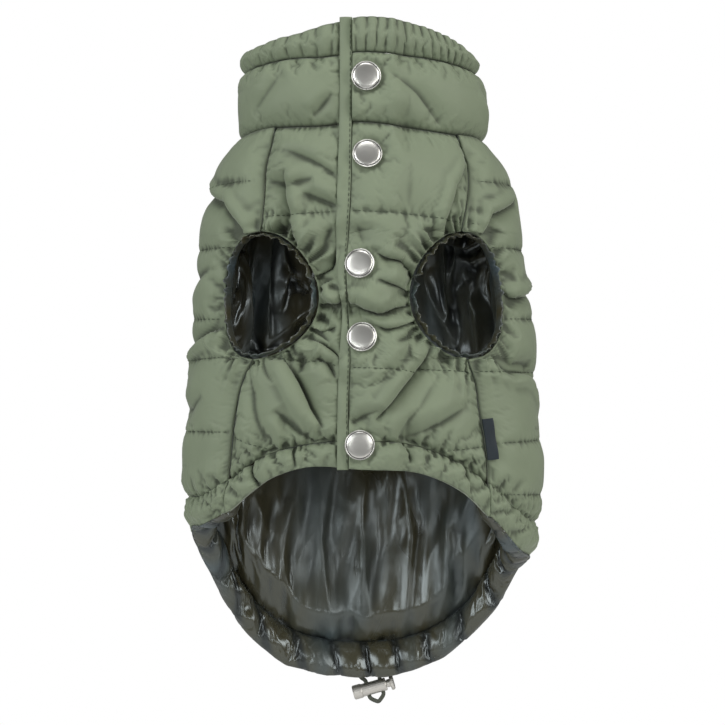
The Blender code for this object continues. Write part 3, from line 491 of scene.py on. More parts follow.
def folding(angle, height, folds):
    """Depth of all folds at a place and their two shifts along the cloth. A fold's depth is
    depth * sin(pi t) ^ 0.6 along it and exp(-(distance / flank) ^ p) across it, with p 1.3 on the
    soft flank and 0.9 on the steep one, which meet in a crease, and a low lip
    beyond the steep flank; that flank leans over by 0.35 depth * q exp(1 - q), where q is the
    distance over its width."""
    depth, across, up = (np.zeros(np.broadcast(angle, height).shape) for _ in range(3))
    for deep, soft, steep, places in folds:
        nearest, begun = None, 0.0
        for (ax, az), (bx, bz) in zip(places[:-1], places[1:]):
            away, along, dx, dz = line_distance(angle, height, ax, az, bx, bz)
            long = math.hypot((bx - ax) * PER_DEGREE, bz - az)
            run = begun + along * long
            begun += long
            if nearest is None:
                nearest = [away, run, dx, dz]
            else:
                closer = np.abs(away) < np.abs(nearest[0])
                nearest = [np.where(closer, new, old)
                           for new, old in zip((away, run, dx, dz), nearest)]
        away, run, dx, dz = nearest
        fade = np.sin(math.pi * np.clip(run / begun, 0.0, 1.0)) ** 0.6
        far = np.abs(away)
        flank = np.where(away > 0, soft, steep)
        lip = 0.35 * np.exp(-((away + 2.4 * steep) / (1.6 * steep)) ** 2)
        bent = np.where(away > 0, 1.3, 0.9)
        depth = depth + deep * fade * (np.exp(-(far / flank) ** bent) - lip)
        if steep < 2.0:
            lean = np.where(away < 0,
                            0.35 * deep * fade * far / steep * np.exp(1 - far / steep), 0.0)
            across = across - lean * dx / np.maximum(far, 1e-6)
            up = up - lean * dz / np.maximum(far, 1e-6)
    return depth, across, up


def front_folds():
    """The front's folds with their places as angles, together with the sides'."""
    turned = [(deep, soft, steep, [(float(angle_across(x, z)), z) for x, z in places])
              for deep, soft, steep, places in FRONT_FOLDS]
    behind = [(deep, soft, steep, [((a + 180.0) % 360.0 - 180.0, z) for a, z in places])
              for deep, soft, steep, places in SIDE_FOLDS
              if places[1][0] < 70 or places[1][0] > 290]
    return turned + behind


def teeth(along, seed, length):
    """Small uneven folds along a line, from -0.5 to 0.5: |sin(pi p)| ^ 0.8 - 0.5, where p counts
    lengths and is hurried and slowed by four seeded waves."""
    rng = np.random.default_rng(seed)
    phase = along / length
    for _ in range(4):
        wave = length * rng.uniform(2.5, 9.0)
        phase = phase + 0.3 * np.sin(2 * math.pi * along / wave + rng.uniform(0, 2 * math.pi))
    return np.abs(np.sin(math.pi * phase)) ** 0.8 - 0.5


def puckers(angle, height):
    """Depth of the small folds that run out from the elastic armholes and from the seams; each
    fades with the distance from its line."""
    depth = np.zeros(np.broadcast(angle, height).shape)
    for side, round_it, away in armholes(angle, height):
        reach = 6.2 + 3.4 * np.sin(5 * round_it + side) * np.sin(3 * round_it + 1.0)
        depth += 4.8 * teeth(round_it * 28.0, 61 + side, 5.2) * np.exp(-(away / reach) ** 1.3)
    hem = np.maximum(height - level(angle, "hem_seam"), 0.0)
    depth += 2.6 * teeth(angle * PER_DEGREE, 63, 4.2) * np.exp(-hem / 4.0)
    neck = np.maximum(level(angle, "neck_seam") - height, 0.0)
    depth += 1.2 * teeth(angle * PER_DEGREE, 64, 5.0) * np.exp(-neck / 4.0)
    for number, (a1, z1, a2, z2, _) in enumerate(QUILTING):
        away, along, _, _ = line_distance(angle, height, a1, z1, a2, z2)
        ends = (along > 0.001) & (along < 0.999)
        depth += (0.9 * teeth(angle * PER_DEGREE + 0.3 * away, 70 + number, 4.6)
                  * np.exp(-(np.abs(away) / 2.6) ** 1.4) * ends)
    return depth


def snap_lean(angle, height, press_radius, free_radius):
    """How free the cloth is of the snaps, 0 under one and 1 away from it, and its lean."""
    free = np.ones(np.broadcast(angle, height).shape)
    lean = np.zeros_like(free)
    across = across_of(angle, height)
    front = np.cos(np.radians(angle)) > 0
    for snap_across, snap_height, slope_across, slope_up in SNAPS:
        dx, dz = across - snap_across, height - snap_height
        away = np.hypot(dx, dz)
        free = np.where(front, free * ease((away - press_radius) / (free_radius - press_radius)),
                        free)
        near = np.where(front, 1.0 - ease((away - SNAP_LEAN) / (SNAP_FADE - SNAP_LEAN)), 0.0)
        lean = lean + near * (slope_across * dx + slope_up * dz)
    return free, lean


def over_lift(angle, height):
    """Rise of the over front, which lies on the under front."""
    across = across_of(angle, height)
    rise = LIFT * ease((LIFT_ENDS - across) / (LIFT_ENDS - LIFT_FULL))
    return np.where(np.asarray(angle) < 90.0, rise, 0.0)


def under_press(angle, height, start):
    """1 where the under front is free, 0 where the over front and its strip lie on it."""
    across = across_of(angle, height)
    covered = strip_line(height, "free_edge") + PRESS_MARGIN
    return np.where(angle > start, 1.0 - ease((across - covered) / PRESS_FADE + 1.0), 1.0)


def ripple(angle, height, seed, length, tall):
    """Fine uneven creasing: 8 waves of seeded directions, about length mm long, summed."""
    rng = np.random.default_rng(seed)
    x, z = np.asarray(angle) * PER_DEGREE, np.asarray(height)
    total = np.zeros(np.broadcast(x, z).shape)
    for _ in range(8):
        turn, phase = rng.uniform(0, math.pi), rng.uniform(0, 2 * math.pi)
        size = length * rng.uniform(0.7, 1.6)
        total += np.sin(2 * math.pi * (x * math.cos(turn) + z * math.sin(turn)) / size + phase)
    return tall * total / 8 ** 0.5


# ================================ meshes =========================================================

def remove(obj):
    """Deletes an object and its mesh."""
    data = obj.data
    bpy.data.objects.remove(obj)
    if isinstance(data, bpy.types.Mesh):
        bpy.data.meshes.remove(data)


def add_mesh(name, points, faces, materials, uvs=None, material_of=None, sharp=None):
    """One object at the origin from points in metres; uvs hold one place in metres a point."""
    mesh = bpy.data.meshes.new(name)
    mesh.from_pydata(np.asarray(points).reshape(-1, 3).tolist(), [], faces)
    for mat in materials:
        mesh.materials.append(mat)
    if material_of is not None:
        mesh.polygons.foreach_set("material_index", np.asarray(material_of, dtype=np.int32))
    if uvs is not None:
        corner = np.empty(len(mesh.loops), dtype=np.int32)
        mesh.loops.foreach_get("vertex_index", corner)
        layer = mesh.uv_layers.new(name="cloth")
        layer.data.foreach_set("uv", np.asarray(uvs, dtype=np.float32)[corner].ravel())
    mesh.shade_smooth()
    if sharp is not None:
        mesh.set_sharp_from_angle(angle=math.radians(sharp))
    obj = bpy.data.objects.new(name, mesh)
    bpy.context.scene.collection.objects.link(obj)
    return obj


def grid_faces(rows, cols, start=0, flipped=False):
    """Quads of a grid of points, rows from top to bottom, columns in the order of the angle."""
    at = start + np.arange(rows * cols).reshape(rows, cols)
    quads = np.stack([at[:-1, :-1], at[1:, :-1], at[1:, 1:], at[:-1, 1:]], axis=-1).reshape(-1, 4)
    return (quads[:, ::-1] if flipped else quads).tolist()


def ring_faces(rings, sides, start=0):
    """Quads between rings of points, and the point numbers of the rings."""
    at = start + np.arange(rings * sides).reshape(rings, sides)
    beside = np.roll(at, -1, 1)
    quads = np.stack([at[:-1], beside[:-1], beside[1:], at[1:]], axis=-1).reshape(-1, 4)
    return quads.tolist(), at


def tube_faces(rings, sides):
    """Quads between rings of points, and a polygon over each end."""
    quads, at = ring_faces(rings, sides)
    return quads + [at[0].tolist()[::-1], at[-1].tolist()]


def rim_faces(outer, inner, rows_step, cols_step):
    """Polygons between the edges of a fine grid and a coarse one behind it, given as index
    grids: each takes one coarse step and the fine steps beside it."""
    faces = []
    fans = ((outer[0], inner[0], cols_step, False),
            (outer[-1], inner[-1], cols_step, True),
            (outer[:, 0], inner[:, 0], rows_step, True),
            (outer[:, -1], inner[:, -1], rows_step, False))
    for fine, coarse, step, flipped in fans:
        count = len(coarse) - 1
        run = fine[np.arange(count)[:, None] * step + np.arange(step + 1)]
        rim = np.concatenate([run, coarse[1:, None], coarse[:-1, None]], axis=1)
        faces += (rim[:, ::-1] if flipped else rim).tolist()
    return faces


def wall(name, outer, inner, materials, uvs, inner_uvs):
    """A closed wall: a fine grid in front, a coarser one behind and a rim round both."""
    rows, cols = outer.shape[:2]
    inner_rows, inner_cols = inner.shape[:2]
    count = rows * cols
    front = np.arange(count).reshape(rows, cols)
    back = count + np.arange(inner_rows * inner_cols).reshape(inner_rows, inner_cols)
    fine = grid_faces(rows, cols)
    coarse = grid_faces(inner_rows, inner_cols, count, flipped=True)
    rim = rim_faces(front, back, (rows - 1) // (inner_rows - 1), (cols - 1) // (inner_cols - 1))
    points = np.concatenate([outer.reshape(-1, 3), inner.reshape(-1, 3)])
    places = np.concatenate([uvs.reshape(-1, 2), inner_uvs.reshape(-1, 2)])
    second = 1 if len(materials) > 1 else 0
    material_of = [0] * len(fine) + [second] * len(coarse) + [0] * len(rim)
    return add_mesh(name, points, fine + coarse + rim, materials, places, material_of)


def halved(values, axis):
    """Twice as fine along one axis: each new value is 9/16 of its two neighbours less 1/16 of
    the next two, a cubic through all four."""
    v = np.moveaxis(values, axis, 0)
    ends = np.concatenate([2 * v[:1] - v[1:2], v, 2 * v[-1:] - v[-2:-1]])
    middle = (9 * (ends[1:-2] + ends[2:-1]) - ends[:-3] - ends[3:]) / 16
    out = np.empty((2 * len(v) - 1,) + v.shape[1:])
    out[0::2], out[1::2] = v, middle
    return np.moveaxis(out, 0, axis)


def finer(values):
    """A grid twice as fine both ways."""
    return halved(halved(values, 0), 1)


def mean_near(values, reach, axis):
    """Mean over reach cells to both sides along an axis, as a difference of running sums."""
    wide = [(reach + 1, reach) if at == axis else (0, 0) for at in (0, 1)]
    total = np.cumsum(np.pad(values, wide, mode="edge"), axis=axis)
    size = 2 * reach + 1
    parts = [np.take(total, range(first, first + values.shape[axis]), axis=axis)
             for first in (size, 0)]
    return (parts[0] - parts[1]) / size


def painted_shade(offset, reach=4):
    """From 0 to 1, how far a place lies below its surroundings within reach cells: the share of
    painted shade there.
    """
    around = mean_near(mean_near(offset, reach, 0), reach, 1)
    return np.clip((around - offset) / PAINTED_SHADE_DEPTH, 0.0, 1.0)


def keep_painted_shade(obj, hollows):
    """Keeps the outer grid's painted shade with the mesh, for the material to darken the base
    colour by.
    """
    values = np.zeros(len(obj.data.vertices), dtype=np.float32)
    values[:hollows.size] = hollows.ravel()
    obj.data.attributes.new("painted_shade", "FLOAT", "POINT").data.foreach_set("value", values)


def cloth_uv(angles, heights):
    """Places on the cloth in metres: along the body's round and up it."""
    return np.stack([angles * math.radians(FOLD_RADIUS + 8.0), heights], axis=-1) * MM


def every(grid, step_rows, step_cols):
    """Every so many rows and columns of a grid."""
    return grid[::step_rows, ::step_cols]


def steps_for(length, cell, multiple=2):
    """Number of cells over a length, a multiple of the coarse inner grid's step."""
    return max(multiple, int(round(length / cell / multiple)) * multiple)


def outward_of(points):
    """Unit normals of a grid of points, from the cross product of its two directions."""
    down = np.gradient(points, axis=0)
    across = np.gradient(points, axis=1)
    normal = np.cross(down, across)
    return normal / np.maximum(np.linalg.norm(normal, axis=-1, keepdims=True), 1e-12)


# ================================ the padding's cloth simulation =================================

SIM_SCALE = 10.0             # Blender's cloth behaves best with cells of about 10 mm
SIM_FRAMES = 14
MOVE_CAP = 9.0               # mm that a point may move


def settled(points, held, loose, slack, gather, pressure, seed):
    """The grid's points after Blender's cloth has blown it up from behind. Held points stay;
    the cloth's threads are longer than their places by slack, and by gather where loose is 1."""
    rng = np.random.default_rng(seed)
    start = points + rng.normal(0.0, 0.02 * MM, points.shape) * ~held[..., None]
    rows, cols = held.shape
    obj = add_mesh("settling_cloth", start * SIM_SCALE, grid_faces(rows, cols), [])
    obj.vertex_groups.new(name="held").add(np.flatnonzero(held).tolist(), 1.0, "REPLACE")
    even = obj.vertex_groups.new(name="even")
    levels = np.round((1.0 - loose.ravel()) * 16).astype(int)
    for step in range(1, 17):
        chosen = np.flatnonzero(levels == step).tolist()
        if chosen:
            even.add(chosen, step / 16, "REPLACE")
    cloth = obj.modifiers.new("cloth", "CLOTH")
    settings = cloth.settings
    settings.quality = 6
    settings.mass = 0.2
    settings.tension_stiffness = settings.compression_stiffness = 18.0
    settings.shear_stiffness = 4.0
    settings.bending_stiffness = 0.25
    settings.vertex_group_mass = "held"
    settings.use_pressure = True
    settings.uniform_pressure_force = pressure
    settings.shrink_min = -gather
    settings.shrink_max = -slack
    settings.vertex_group_shrink = "even"
    settings.effector_weights.gravity = 0.0
    cloth.collision_settings.use_collision = False
    cloth.point_cache.frame_start = 1
    cloth.point_cache.frame_end = SIM_FRAMES
    scene = bpy.context.scene
    for number in range(1, SIM_FRAMES + 1):
        scene.frame_set(number)
    result = obj.evaluated_get(bpy.context.evaluated_depsgraph_get())
    coords = np.empty(len(result.data.vertices) * 3, dtype=np.float32)
    result.data.vertices.foreach_get("co", coords)
    scene.frame_set(1)
    remove(obj)
    moved = coords.reshape(points.shape) / SIM_SCALE - points
    length = np.linalg.norm(moved, axis=-1, keepdims=True)
    moved *= np.minimum(1.0, MOVE_CAP * MM / np.maximum(length, 1e-9))
    return points + np.where(held[..., None], 0.0, moved)


# ================================ cloth pieces ===================================================

def edges_held(shape):
    """Marks the outermost points of a grid."""
    held = np.zeros(shape, dtype=bool)
    held[0] = held[-1] = True
    held[:, 0] = held[:, -1] = True
    return held


def front_edges(side):
    """Angles of a front piece's two edges as functions of height, lower angle first."""
    if side < 0:
        return (lambda h: seam_angle(h, -1) + gap_angle(h),
                lambda h: angle_across(UNDERLAP, h))
    return (lambda h: angle_across(strip_line(h, "stitch_line") + GAP, h),
            lambda h: seam_angle(h, 1) - gap_angle(h))


def back_edges():
    """Angles of the back piece's two edges, right side seam first."""
    return (lambda h: seam_angle(h, 1) + gap_angle(h),
            lambda h: 360.0 + seam_angle(h, -1) - gap_angle(h))


def collar_edges():
    """From the strip at the opening, round the back, to the underlap."""
    return (lambda h: angle_across(strip_line(h, "stitch_line") + GAP, h),
            lambda h: 360.0 + angle_across(UNDERLAP, h))


def bite(height):
    """0 away from an armhole's heights and sqrt(1 - (rise / half) ^ 2) beside its middle."""
    reach = 1.0 - ((height - ARMHOLE_HEIGHT) / ARMHOLE_HALF) ** 2
    return np.sqrt(np.clip(reach, 0.0, 1.0))


def line_heights(edges, line, across):
    """Heights of a level line at shares of the way across a piece, whose edges move with the
    height: the two are settled together in a few rounds."""
    heights = level(edges[0](0.0) + 0 * across, line)
    for _ in range(6):
        first, last = edges[0](heights), edges[1](heights)
        heights = level(first + across * (last - first), line)
    return heights


def panel_grid(edges, bites, cols, rows, trim=SEAM_TRIM):
    """Angles and heights of a panel that has armhole bites in its side edges, and the angles of
    its two edges. rows holds the number of steps above, beside and below the armholes; beside
    them the heights are part even and part sin(pi t / 2), so that the rounds stay round."""
    across = np.linspace(0.0, 1.0, cols + 1)
    middle, half = ARMHOLE_HEIGHT, ARMHOLE_HALF
    high = line_heights(edges, "neck_seam", across) - trim
    low = line_heights(edges, "hem_seam", across) + trim
    upper = np.linspace(0.0, 1.0, rows[0] + 1)[:-1, None]
    even = np.linspace(1.0, -1.0, rows[1] + 1)[:, None]
    beside = middle + half * (EVEN_ROWS * even + (1 - EVEN_ROWS) * np.sin(math.pi * even / 2))
    lower = np.linspace(0.0, 1.0, rows[2] + 1)[1:, None]
    heights = np.concatenate([
        high + upper * (middle + half - high),
        beside + 0 * across,
        middle - half + lower * (low - middle + half)])
    first, last = edges[0](heights), edges[1](heights)
    if bites[0] is not None:
        first = first + (bites[0] - edges[0](middle)) * bite(heights)
    if bites[1] is not None:
        last = last + (bites[1] - edges[1](middle)) * bite(heights)
    return first + across * (last - first), heights, first, last


def on_quilting(angles, heights):
    """Moves the nearest point of each column onto every quilting line that crosses it. Gives
    the heights, the points that are held and, for each line, its points' rows and columns."""
    heights = heights.copy()
    held = np.zeros(heights.shape, dtype=bool)
    lines = []
    columns = np.arange(heights.shape[1])
    for a1, z1, a2, z2, _ in QUILTING:
        line = z1 + (angles - a1) / (a2 - a1) * (z2 - z1)
        inside = (angles >= a1 - 0.01) & (angles <= a2 + 0.01)
        away = np.where(inside, np.abs(heights - line), 1e3)
        rows = np.argmin(away, axis=0)
        ok = (away[rows, columns] < 1.6) & (rows > 0) & (rows < len(heights) - 1)
        rows, cols = rows[ok], columns[ok]
        if len(rows) > 2:
            heights[rows, cols] = line[rows, cols]
            held[rows, cols] = True
            lines.append((rows, cols))
    return heights, held, lines


def edge_distance(angles, heights, first, last):
    """Distance in mm on the cloth to the nearest edge of a panel."""
    sides = np.minimum(angles - first, last - angles) * PER_DEGREE
    ends = np.minimum(level(angles, "neck_seam") - heights, heights - level(angles, "hem_seam"))
    return np.maximum(np.minimum(sides, ends), 0.0)


def armholes(angles, heights):
    """For each armhole, the left one at both of its angles: its side, the direction from its
    middle, and the rough distance in mm on the cloth to its edge."""
    for side, turn in ((-1, 0.0), (1, 0.0), (-1, 360.0)):
        centre = side * (ARMHOLE_FRONT[side] + ARMHOLE_BACK[side]) / 2
        half = (ARMHOLE_BACK[side] - ARMHOLE_FRONT[side]) / 2
        across = (angles - centre - turn) / half
        up = (heights - ARMHOLE_HEIGHT) / ARMHOLE_HALF
        away = np.abs(np.hypot(across, up) - 1.0) * 0.5 * (half * PER_DEGREE + ARMHOLE_HALF)
        yield side, np.arctan2(across, up), away


def drawn_together(angles, heights):
    """1 beside an armhole or the hem, where the elastic and the cord gather the cloth, easing to
    0 at ARMHOLE_DRAW and HEM_DRAW from them."""
    away = np.min([away for _, _, away in armholes(angles, heights)], axis=0)
    return 1.0 - ease(np.minimum(away / ARMHOLE_DRAW, hem_distance(angles, heights) / HEM_DRAW))


def drawn_in(distance):
    """How far a seam pulls the cloth in beside it: SEAM_SINK * exp(-(distance / reach) ^ 2)."""
    return SEAM_SINK * np.exp(-(distance / SEAM_REACH) ** 2)


def hem_distance(angles, heights):
    """Distance up from the hem's seam."""
    return np.maximum(heights - level(angles, "hem_seam"), 0.0)


class Pieces:
    """What the pieces hand on: the sewing lines, as points and outward directions in metres."""
    quilted = []
    topstitched = []


def sewing_line(points, rows, cols, kind):
    """Keeps a line of grid points for the thread: the fine grid has two steps a cell."""
    if len(rows) < 3:
        return
    line = points[2 * rows, 2 * cols]
    normal = outward_of(points)
    spread = [normal[np.clip(2 * rows + k, 0, len(points) - 1), 2 * cols] for k in (-4, 4)]
    out = spread[0] + spread[1]
    kind.append((line, out / np.maximum(np.linalg.norm(out, axis=-1, keepdims=True), 1e-9)))


def lowest(values, reach):
    """The lowest value within so many grid steps of each point, both ways."""
    for axis in (0, 1):
        edged = np.pad(values, [(reach, reach) if a == axis else (0, 0) for a in (0, 1)], "edge")
        size = values.shape[axis]
        values = np.min([np.take(edged, np.arange(k, k + size), axis) for k in
                         range(2 * reach + 1)], axis=0)
    return values


def shifted(depth, across, up, out):
    """Steps in mm: so far along the cloth's level direction, so far up and so deep inwards."""
    level_way = np.stack([-out[..., 1], out[..., 0], 0 * across], axis=-1)
    return (across[..., None] * level_way + up[..., None] * np.array([0.0, 0.0, 1.0])
            - depth[..., None] * out)


def finish_cloth(name, points, angles, heights, inner, folds, free, materials, step,
                 gathered=None, lined=False):
    """The fine outer surface: twice the settled grid, folded and puckered, over an inner
    grid that gives way where a fold runs deep; over a lining of its own the folds stop short."""
    fine, fine_angles, fine_heights = finer(points), finer(angles), finer(heights)
    loose = np.clip(finer(free), 0.0, 1.0)
    depth, across, up = folding(fine_angles, fine_heights, folds)
    depth, across, up = FOLD_SCALE * depth, FOLD_SCALE * across, FOLD_SCALE * up
    if gathered is not None:
        depth = depth + gathered(fine_angles, fine_heights)
    out = outward(fine_angles, fine_heights)
    fine = fine + shifted(depth, across, up, out) * loose[..., None] * MM
    own_offset = ((fine - place(fine_angles, fine_heights, 0 * depth)) * out).sum(axis=-1) / MM
    if lined:
        short = np.maximum(finer(inner) + THINNEST - own_offset, 0.0)
        fine = fine + out * short[..., None] * MM
        own_offset = own_offset + short
        behind = every(inner, step, step)
    else:
        behind = every(np.minimum(finer(inner), lowest(own_offset, 2 * step) - THINNEST),
                       2 * step, 2 * step)
    back_angles, back_heights = every(angles, step, step), every(heights, step, step)
    back = place(back_angles, back_heights, behind)
    obj = wall(name, fine, back, materials, cloth_uv(fine_angles, fine_heights),
               cloth_uv(back_angles, back_heights))
    # painted shade: the cloth's base colour is darkened where it lies below its surroundings
    keep_painted_shade(obj, painted_shade(own_offset))
    return obj, fine


def front_piece(name, side, sizes, materials):
    """A front: held at its edges, quilting lines and snaps, and blown up between them."""
    edges = front_edges(side)
    cut = side * ARMHOLE_FRONT[side]
    bites = (cut, None) if side < 0 else (None, cut)
    rows = [steps_for(length, CELL) for length in FRONT_LENGTHS]
    angles, heights, first, last = panel_grid(edges, bites, steps_for(FRONT_WIDTH, CELL), rows)
    heights, held, lines = on_quilting(angles, heights)
    held |= edges_held(held.shape)
    edge = edge_distance(angles, heights, first, last)
    free, lean = snap_lean(angles, heights, SNAP_RADIUS, SNAP_RADIUS + 6.0)
    if side < 0:
        inner = lean
        free = under_press(angles, heights, -90.0)
    else:
        inner = over_lift(angles, heights) + lean
    pad = padding(angles, heights, edge)
    base = inner + SEAM_WALL + (SEAT - SEAM_WALL) * (1.0 - free)
    swells = ripple(angles, heights, 5 + side, 34.0, 0.5) + ripple(angles, heights, 8, 15.0, 0.18)
    rise = free * pad * (sizes.puff / MM * 0.82 + swells)
    ends = np.minimum(level(angles, "neck_seam") - heights, hem_distance(angles, heights))
    start = place(angles, heights, base + rise - drawn_in(np.maximum(ends, 0.0)) * free)
    held |= free < 0.02
    loose = drawn_together(angles, heights) * free
    points = settled(start, held, loose, sizes.slack, 0.13, sizes.pressure, seed=20 + side)
    obj, fine = finish_cloth(name, points, angles, heights, inner, front_folds(),
                             free * ease(edge / 1.6), materials, 2, puckers)
    for line_rows, line_cols in lines:
        seen = free[line_rows, line_cols] > 0.3
        sewing_line(fine, line_rows[seen], line_cols[seen], Pieces.quilted)
    return obj


def back_grid(trim):
    """The grid of the back, cut away at both armholes."""
    bites = (ARMHOLE_BACK[1], 360.0 - ARMHOLE_BACK[-1])
    rows = [steps_for(length, BACK_CELL) for length in BACK_LENGTHS]
    return panel_grid(back_edges(), bites, steps_for(BACK_ROUND, BACK_CELL), rows, trim)


def back_piece(sizes, materials):
    """The back from side seam to side seam, quilted in seven lines."""
    angles, heights, first, last = back_grid(SEAM_TRIM)
    heights, held, lines = on_quilting(angles, heights)
    held |= edges_held(held.shape)
    edge = edge_distance(angles, heights, first, last)
    pad = padding(angles, heights, edge)
    swells = ripple(angles, heights, 9, 36.0, 0.5) + ripple(angles, heights, 10, 15.0, 0.18)
    rise = pad * (sizes.puff / MM * 0.85 + swells)
    start = place(angles, heights, BACK_INNER + SEAM_WALL + rise)
    points = settled(start, held, drawn_together(angles, heights), 0.3 * sizes.slack, 0.10,
                     sizes.pressure, seed=31)
    inner = np.full_like(angles, BACK_INNER)
    obj, fine = finish_cloth("padded_back", points, angles, heights, inner, SIDE_FOLDS,
                             ease(edge / 1.6), materials, 2, puckers, lined=True)
    for line_rows, line_cols in lines:
        sewing_line(fine, line_rows, line_cols, Pieces.quilted)
    return obj


def band_grid(edges, top, bottom, cols, rows, trim=SEAM_TRIM):
    """Angles, heights and the share of the way down of a band between two level lines."""
    across = np.linspace(0.0, 1.0, cols + 1)
    down = np.linspace(0.0, 1.0, rows + 1)[:, None]
    high = line_heights(edges, top, across) - trim
    low = line_heights(edges, bottom, across) + trim
    heights = high + down * (low - high)
    first, last = edges[0](heights), edges[1](heights)
    return first + across * (last - first), heights, down + 0 * heights


def collar_piece(sizes, materials):
    """The stand-up collar below its gathered casing."""
    angles, heights, down = band_grid(collar_edges(), "casing_seam", "neck_seam",
                                      steps_for(COLLAR_ROUND, CELL), steps_for(36, CELL))
    free = np.where(angles > 180.0, 1.0, snap_lean(angles, heights, SNAP_RADIUS,
                                                   SNAP_RADIUS + 6.0)[0])
    press = under_press(angles, heights, 270.0)
    free = free * press
    inner = over_lift(angles, heights)
    swell = np.sin(math.pi * down) ** 0.55
    base = inner + SEAM_WALL + (SEAT - SEAM_WALL) * (1.0 - free)
    rise = free * (sizes.collar_puff / MM * 0.85 * swell
                   + ripple(angles, heights, 12, 24.0, 0.3) * swell)
    held = edges_held(angles.shape) | (free < 0.02)
    loose = (1.0 - ease(down * 36.0 / 12.0)) * free
    rise = rise - free * drawn_in(np.maximum(heights - level(angles, "neck_seam"), 0.0))
    points = settled(place(angles, heights, base + rise), held, loose, 0.03, 0.14,
                     sizes.pressure, seed=41)
    return finish_cloth("padded_collar", points, angles, heights, inner, COLLAR_FOLDS,
                        free * ease(np.minimum(down, 1.0 - down) * 12.0), materials, 2)[0]


def gathers(angles, table, names, seed):
    """Gathers round a band: |sin(phase / 2)| ^ 0.8 between tight valleys, each ridge with its
    own seeded height from 0.35 to 1."""
    count = curve(table, names, angles, "gathers")
    heights = np.random.default_rng(seed).uniform(0.35, 1.0, 400)
    ridge = heights[np.clip(np.floor(count + 60).astype(int), 0, 399)]
    return ridge * np.abs(np.sin(math.pi * count)) ** 0.8


def casing_piece(sizes, materials):
    """The collar's top casing, gathered on its elastic: a roll with ridges across it."""
    angles, heights, down = band_grid(collar_edges(), "collar_top", "casing_seam",
                                      steps_for(COLLAR_ROUND, CASING_CELL),
                                      steps_for(15, BAND_CELL))
    press = under_press(angles, heights, 270.0)
    inner = over_lift(angles, heights)
    slant = angles + 2.0 * np.sin(0.11 * angles) * (down - 0.5)
    folds = gathers(slant, CASING_GATHERS, GATHER_COLUMNS, 3)
    roll = np.sin(math.pi * np.clip(0.16 + 0.84 * down, 0.0, 1.0)) ** 0.6
    depth = sizes.gather_depth / MM * (0.35 + 0.65 * np.abs(2 * down - 0.9) ** 0.7)
    offset = inner + 1.2 + press * (4.9 * roll - depth * (1.0 - folds) * (0.25 + roll))
    offset = np.maximum(offset, inner + 0.9)
    points = place(angles, heights, offset)
    held = edges_held(angles.shape) | (press < 0.02)
    points = settled(points, held, 0 * angles + press, 0.02, 0.05, sizes.pressure,
                     seed=51)
    return finish_cloth("gathered_casing", points, angles, heights, inner, (), press,
                        materials, 2)[0]


HEM_TUCKS = (                # places are angle and height
    (2.4, 2.2, 1.0, ((-41, -162), (-39.5, -170), (-36, -180))),
    (1.8, 1.8, 1.0, ((-25, -154), (-22, -167))),
    (1.6, 1.8, 1.0, ((12, -152), (16, -165))),
    (1.5, 2.0, 1.0, ((34, -163), (38, -180))),
    (1.9, 2.2, 1.2, ((120, -214), (124, -238))),
    (1.9, 2.2, 1.2, ((160, -256), (162, -274))),
    (1.9, 2.2, 1.2, ((205, -254), (203, -272))),
    (1.9, 2.2, 1.2, ((240, -222), (236, -242))),
)


def hem_piece(name, side, sizes, materials):
    """A padded hem band, puckered along its seam and tucked here and there."""
    edges = front_edges(side) if side else back_edges()
    length = BACK_ROUND if side == 0 else FRONT_WIDTH
    angles, heights, down = band_grid(edges, "hem_seam", "hem", steps_for(length, BAND_CELL),
                                      steps_for(15, BAND_CELL))
    inner = np.full(angles.shape, BACK_INNER) if side == 0 else np.zeros(angles.shape)
    press = np.ones_like(inner)
    free = np.ones_like(inner)
    if side < 0:
        press = under_press(angles, heights, -90.0)
    if side > 0:
        inner = over_lift(angles, heights)
        free = snap_lean(angles, heights, SNAP_RADIUS, SNAP_RADIUS + 5.0)[0]
    free = free * press
    swell = np.sin(math.pi * np.clip(0.04 + 0.86 * down, 0.0, 1.0)) ** 0.6
    if side == 0:
        swell = swell * (1.0 - 0.8 * ease((down - 0.5) / 0.35))
    rise = free * (3.0 * swell + ripple(angles, heights, 14 + side, 9.0, 0.3) * swell)
    base = inner + SEAM_WALL + (SEAT - SEAM_WALL) * (1.0 - free)
    seam = np.maximum(level(angles, "hem_seam") - heights, 0.0)
    rise = rise - (free * drawn_in(seam) if side else 0.0)
    held = edges_held(angles.shape) | (free < 0.02)
    points = settled(place(angles, heights, base + rise), held, (1.0 - down) * free, 0.02, 0.16,
                     sizes.pressure, seed=60 + side)
    return finish_cloth(name, points, angles, heights, inner, HEM_TUCKS, free, materials, 2,
                        hem_puckers)[0]


def hem_puckers(angle, height):
    """Small folds that run down from the hem's seam and up from its turned edge."""
    below = np.maximum(level(angle, "hem_seam") - height, 0.0)
    above = np.maximum(height - level(angle, "hem"), 0.0)
    return (2.8 * teeth(angle * PER_DEGREE, 63, 4.2) * np.exp(-below / 4.2)
            + 0.6 * teeth(angle * PER_DEGREE, 65, 5.0) * np.exp(-above / 3.0))


ROLL_ARC = (75.0, 302.0)     # degrees round the hem roll's section, from its seam to its lip
ROLL_MIDDLE = -2.4           # offset of the section's middle ...
ROLL_IN = 7.0                # ... its reach to the inside ...
ROLL_OUT = 12.4              # ... and, below the hem band, to the outside


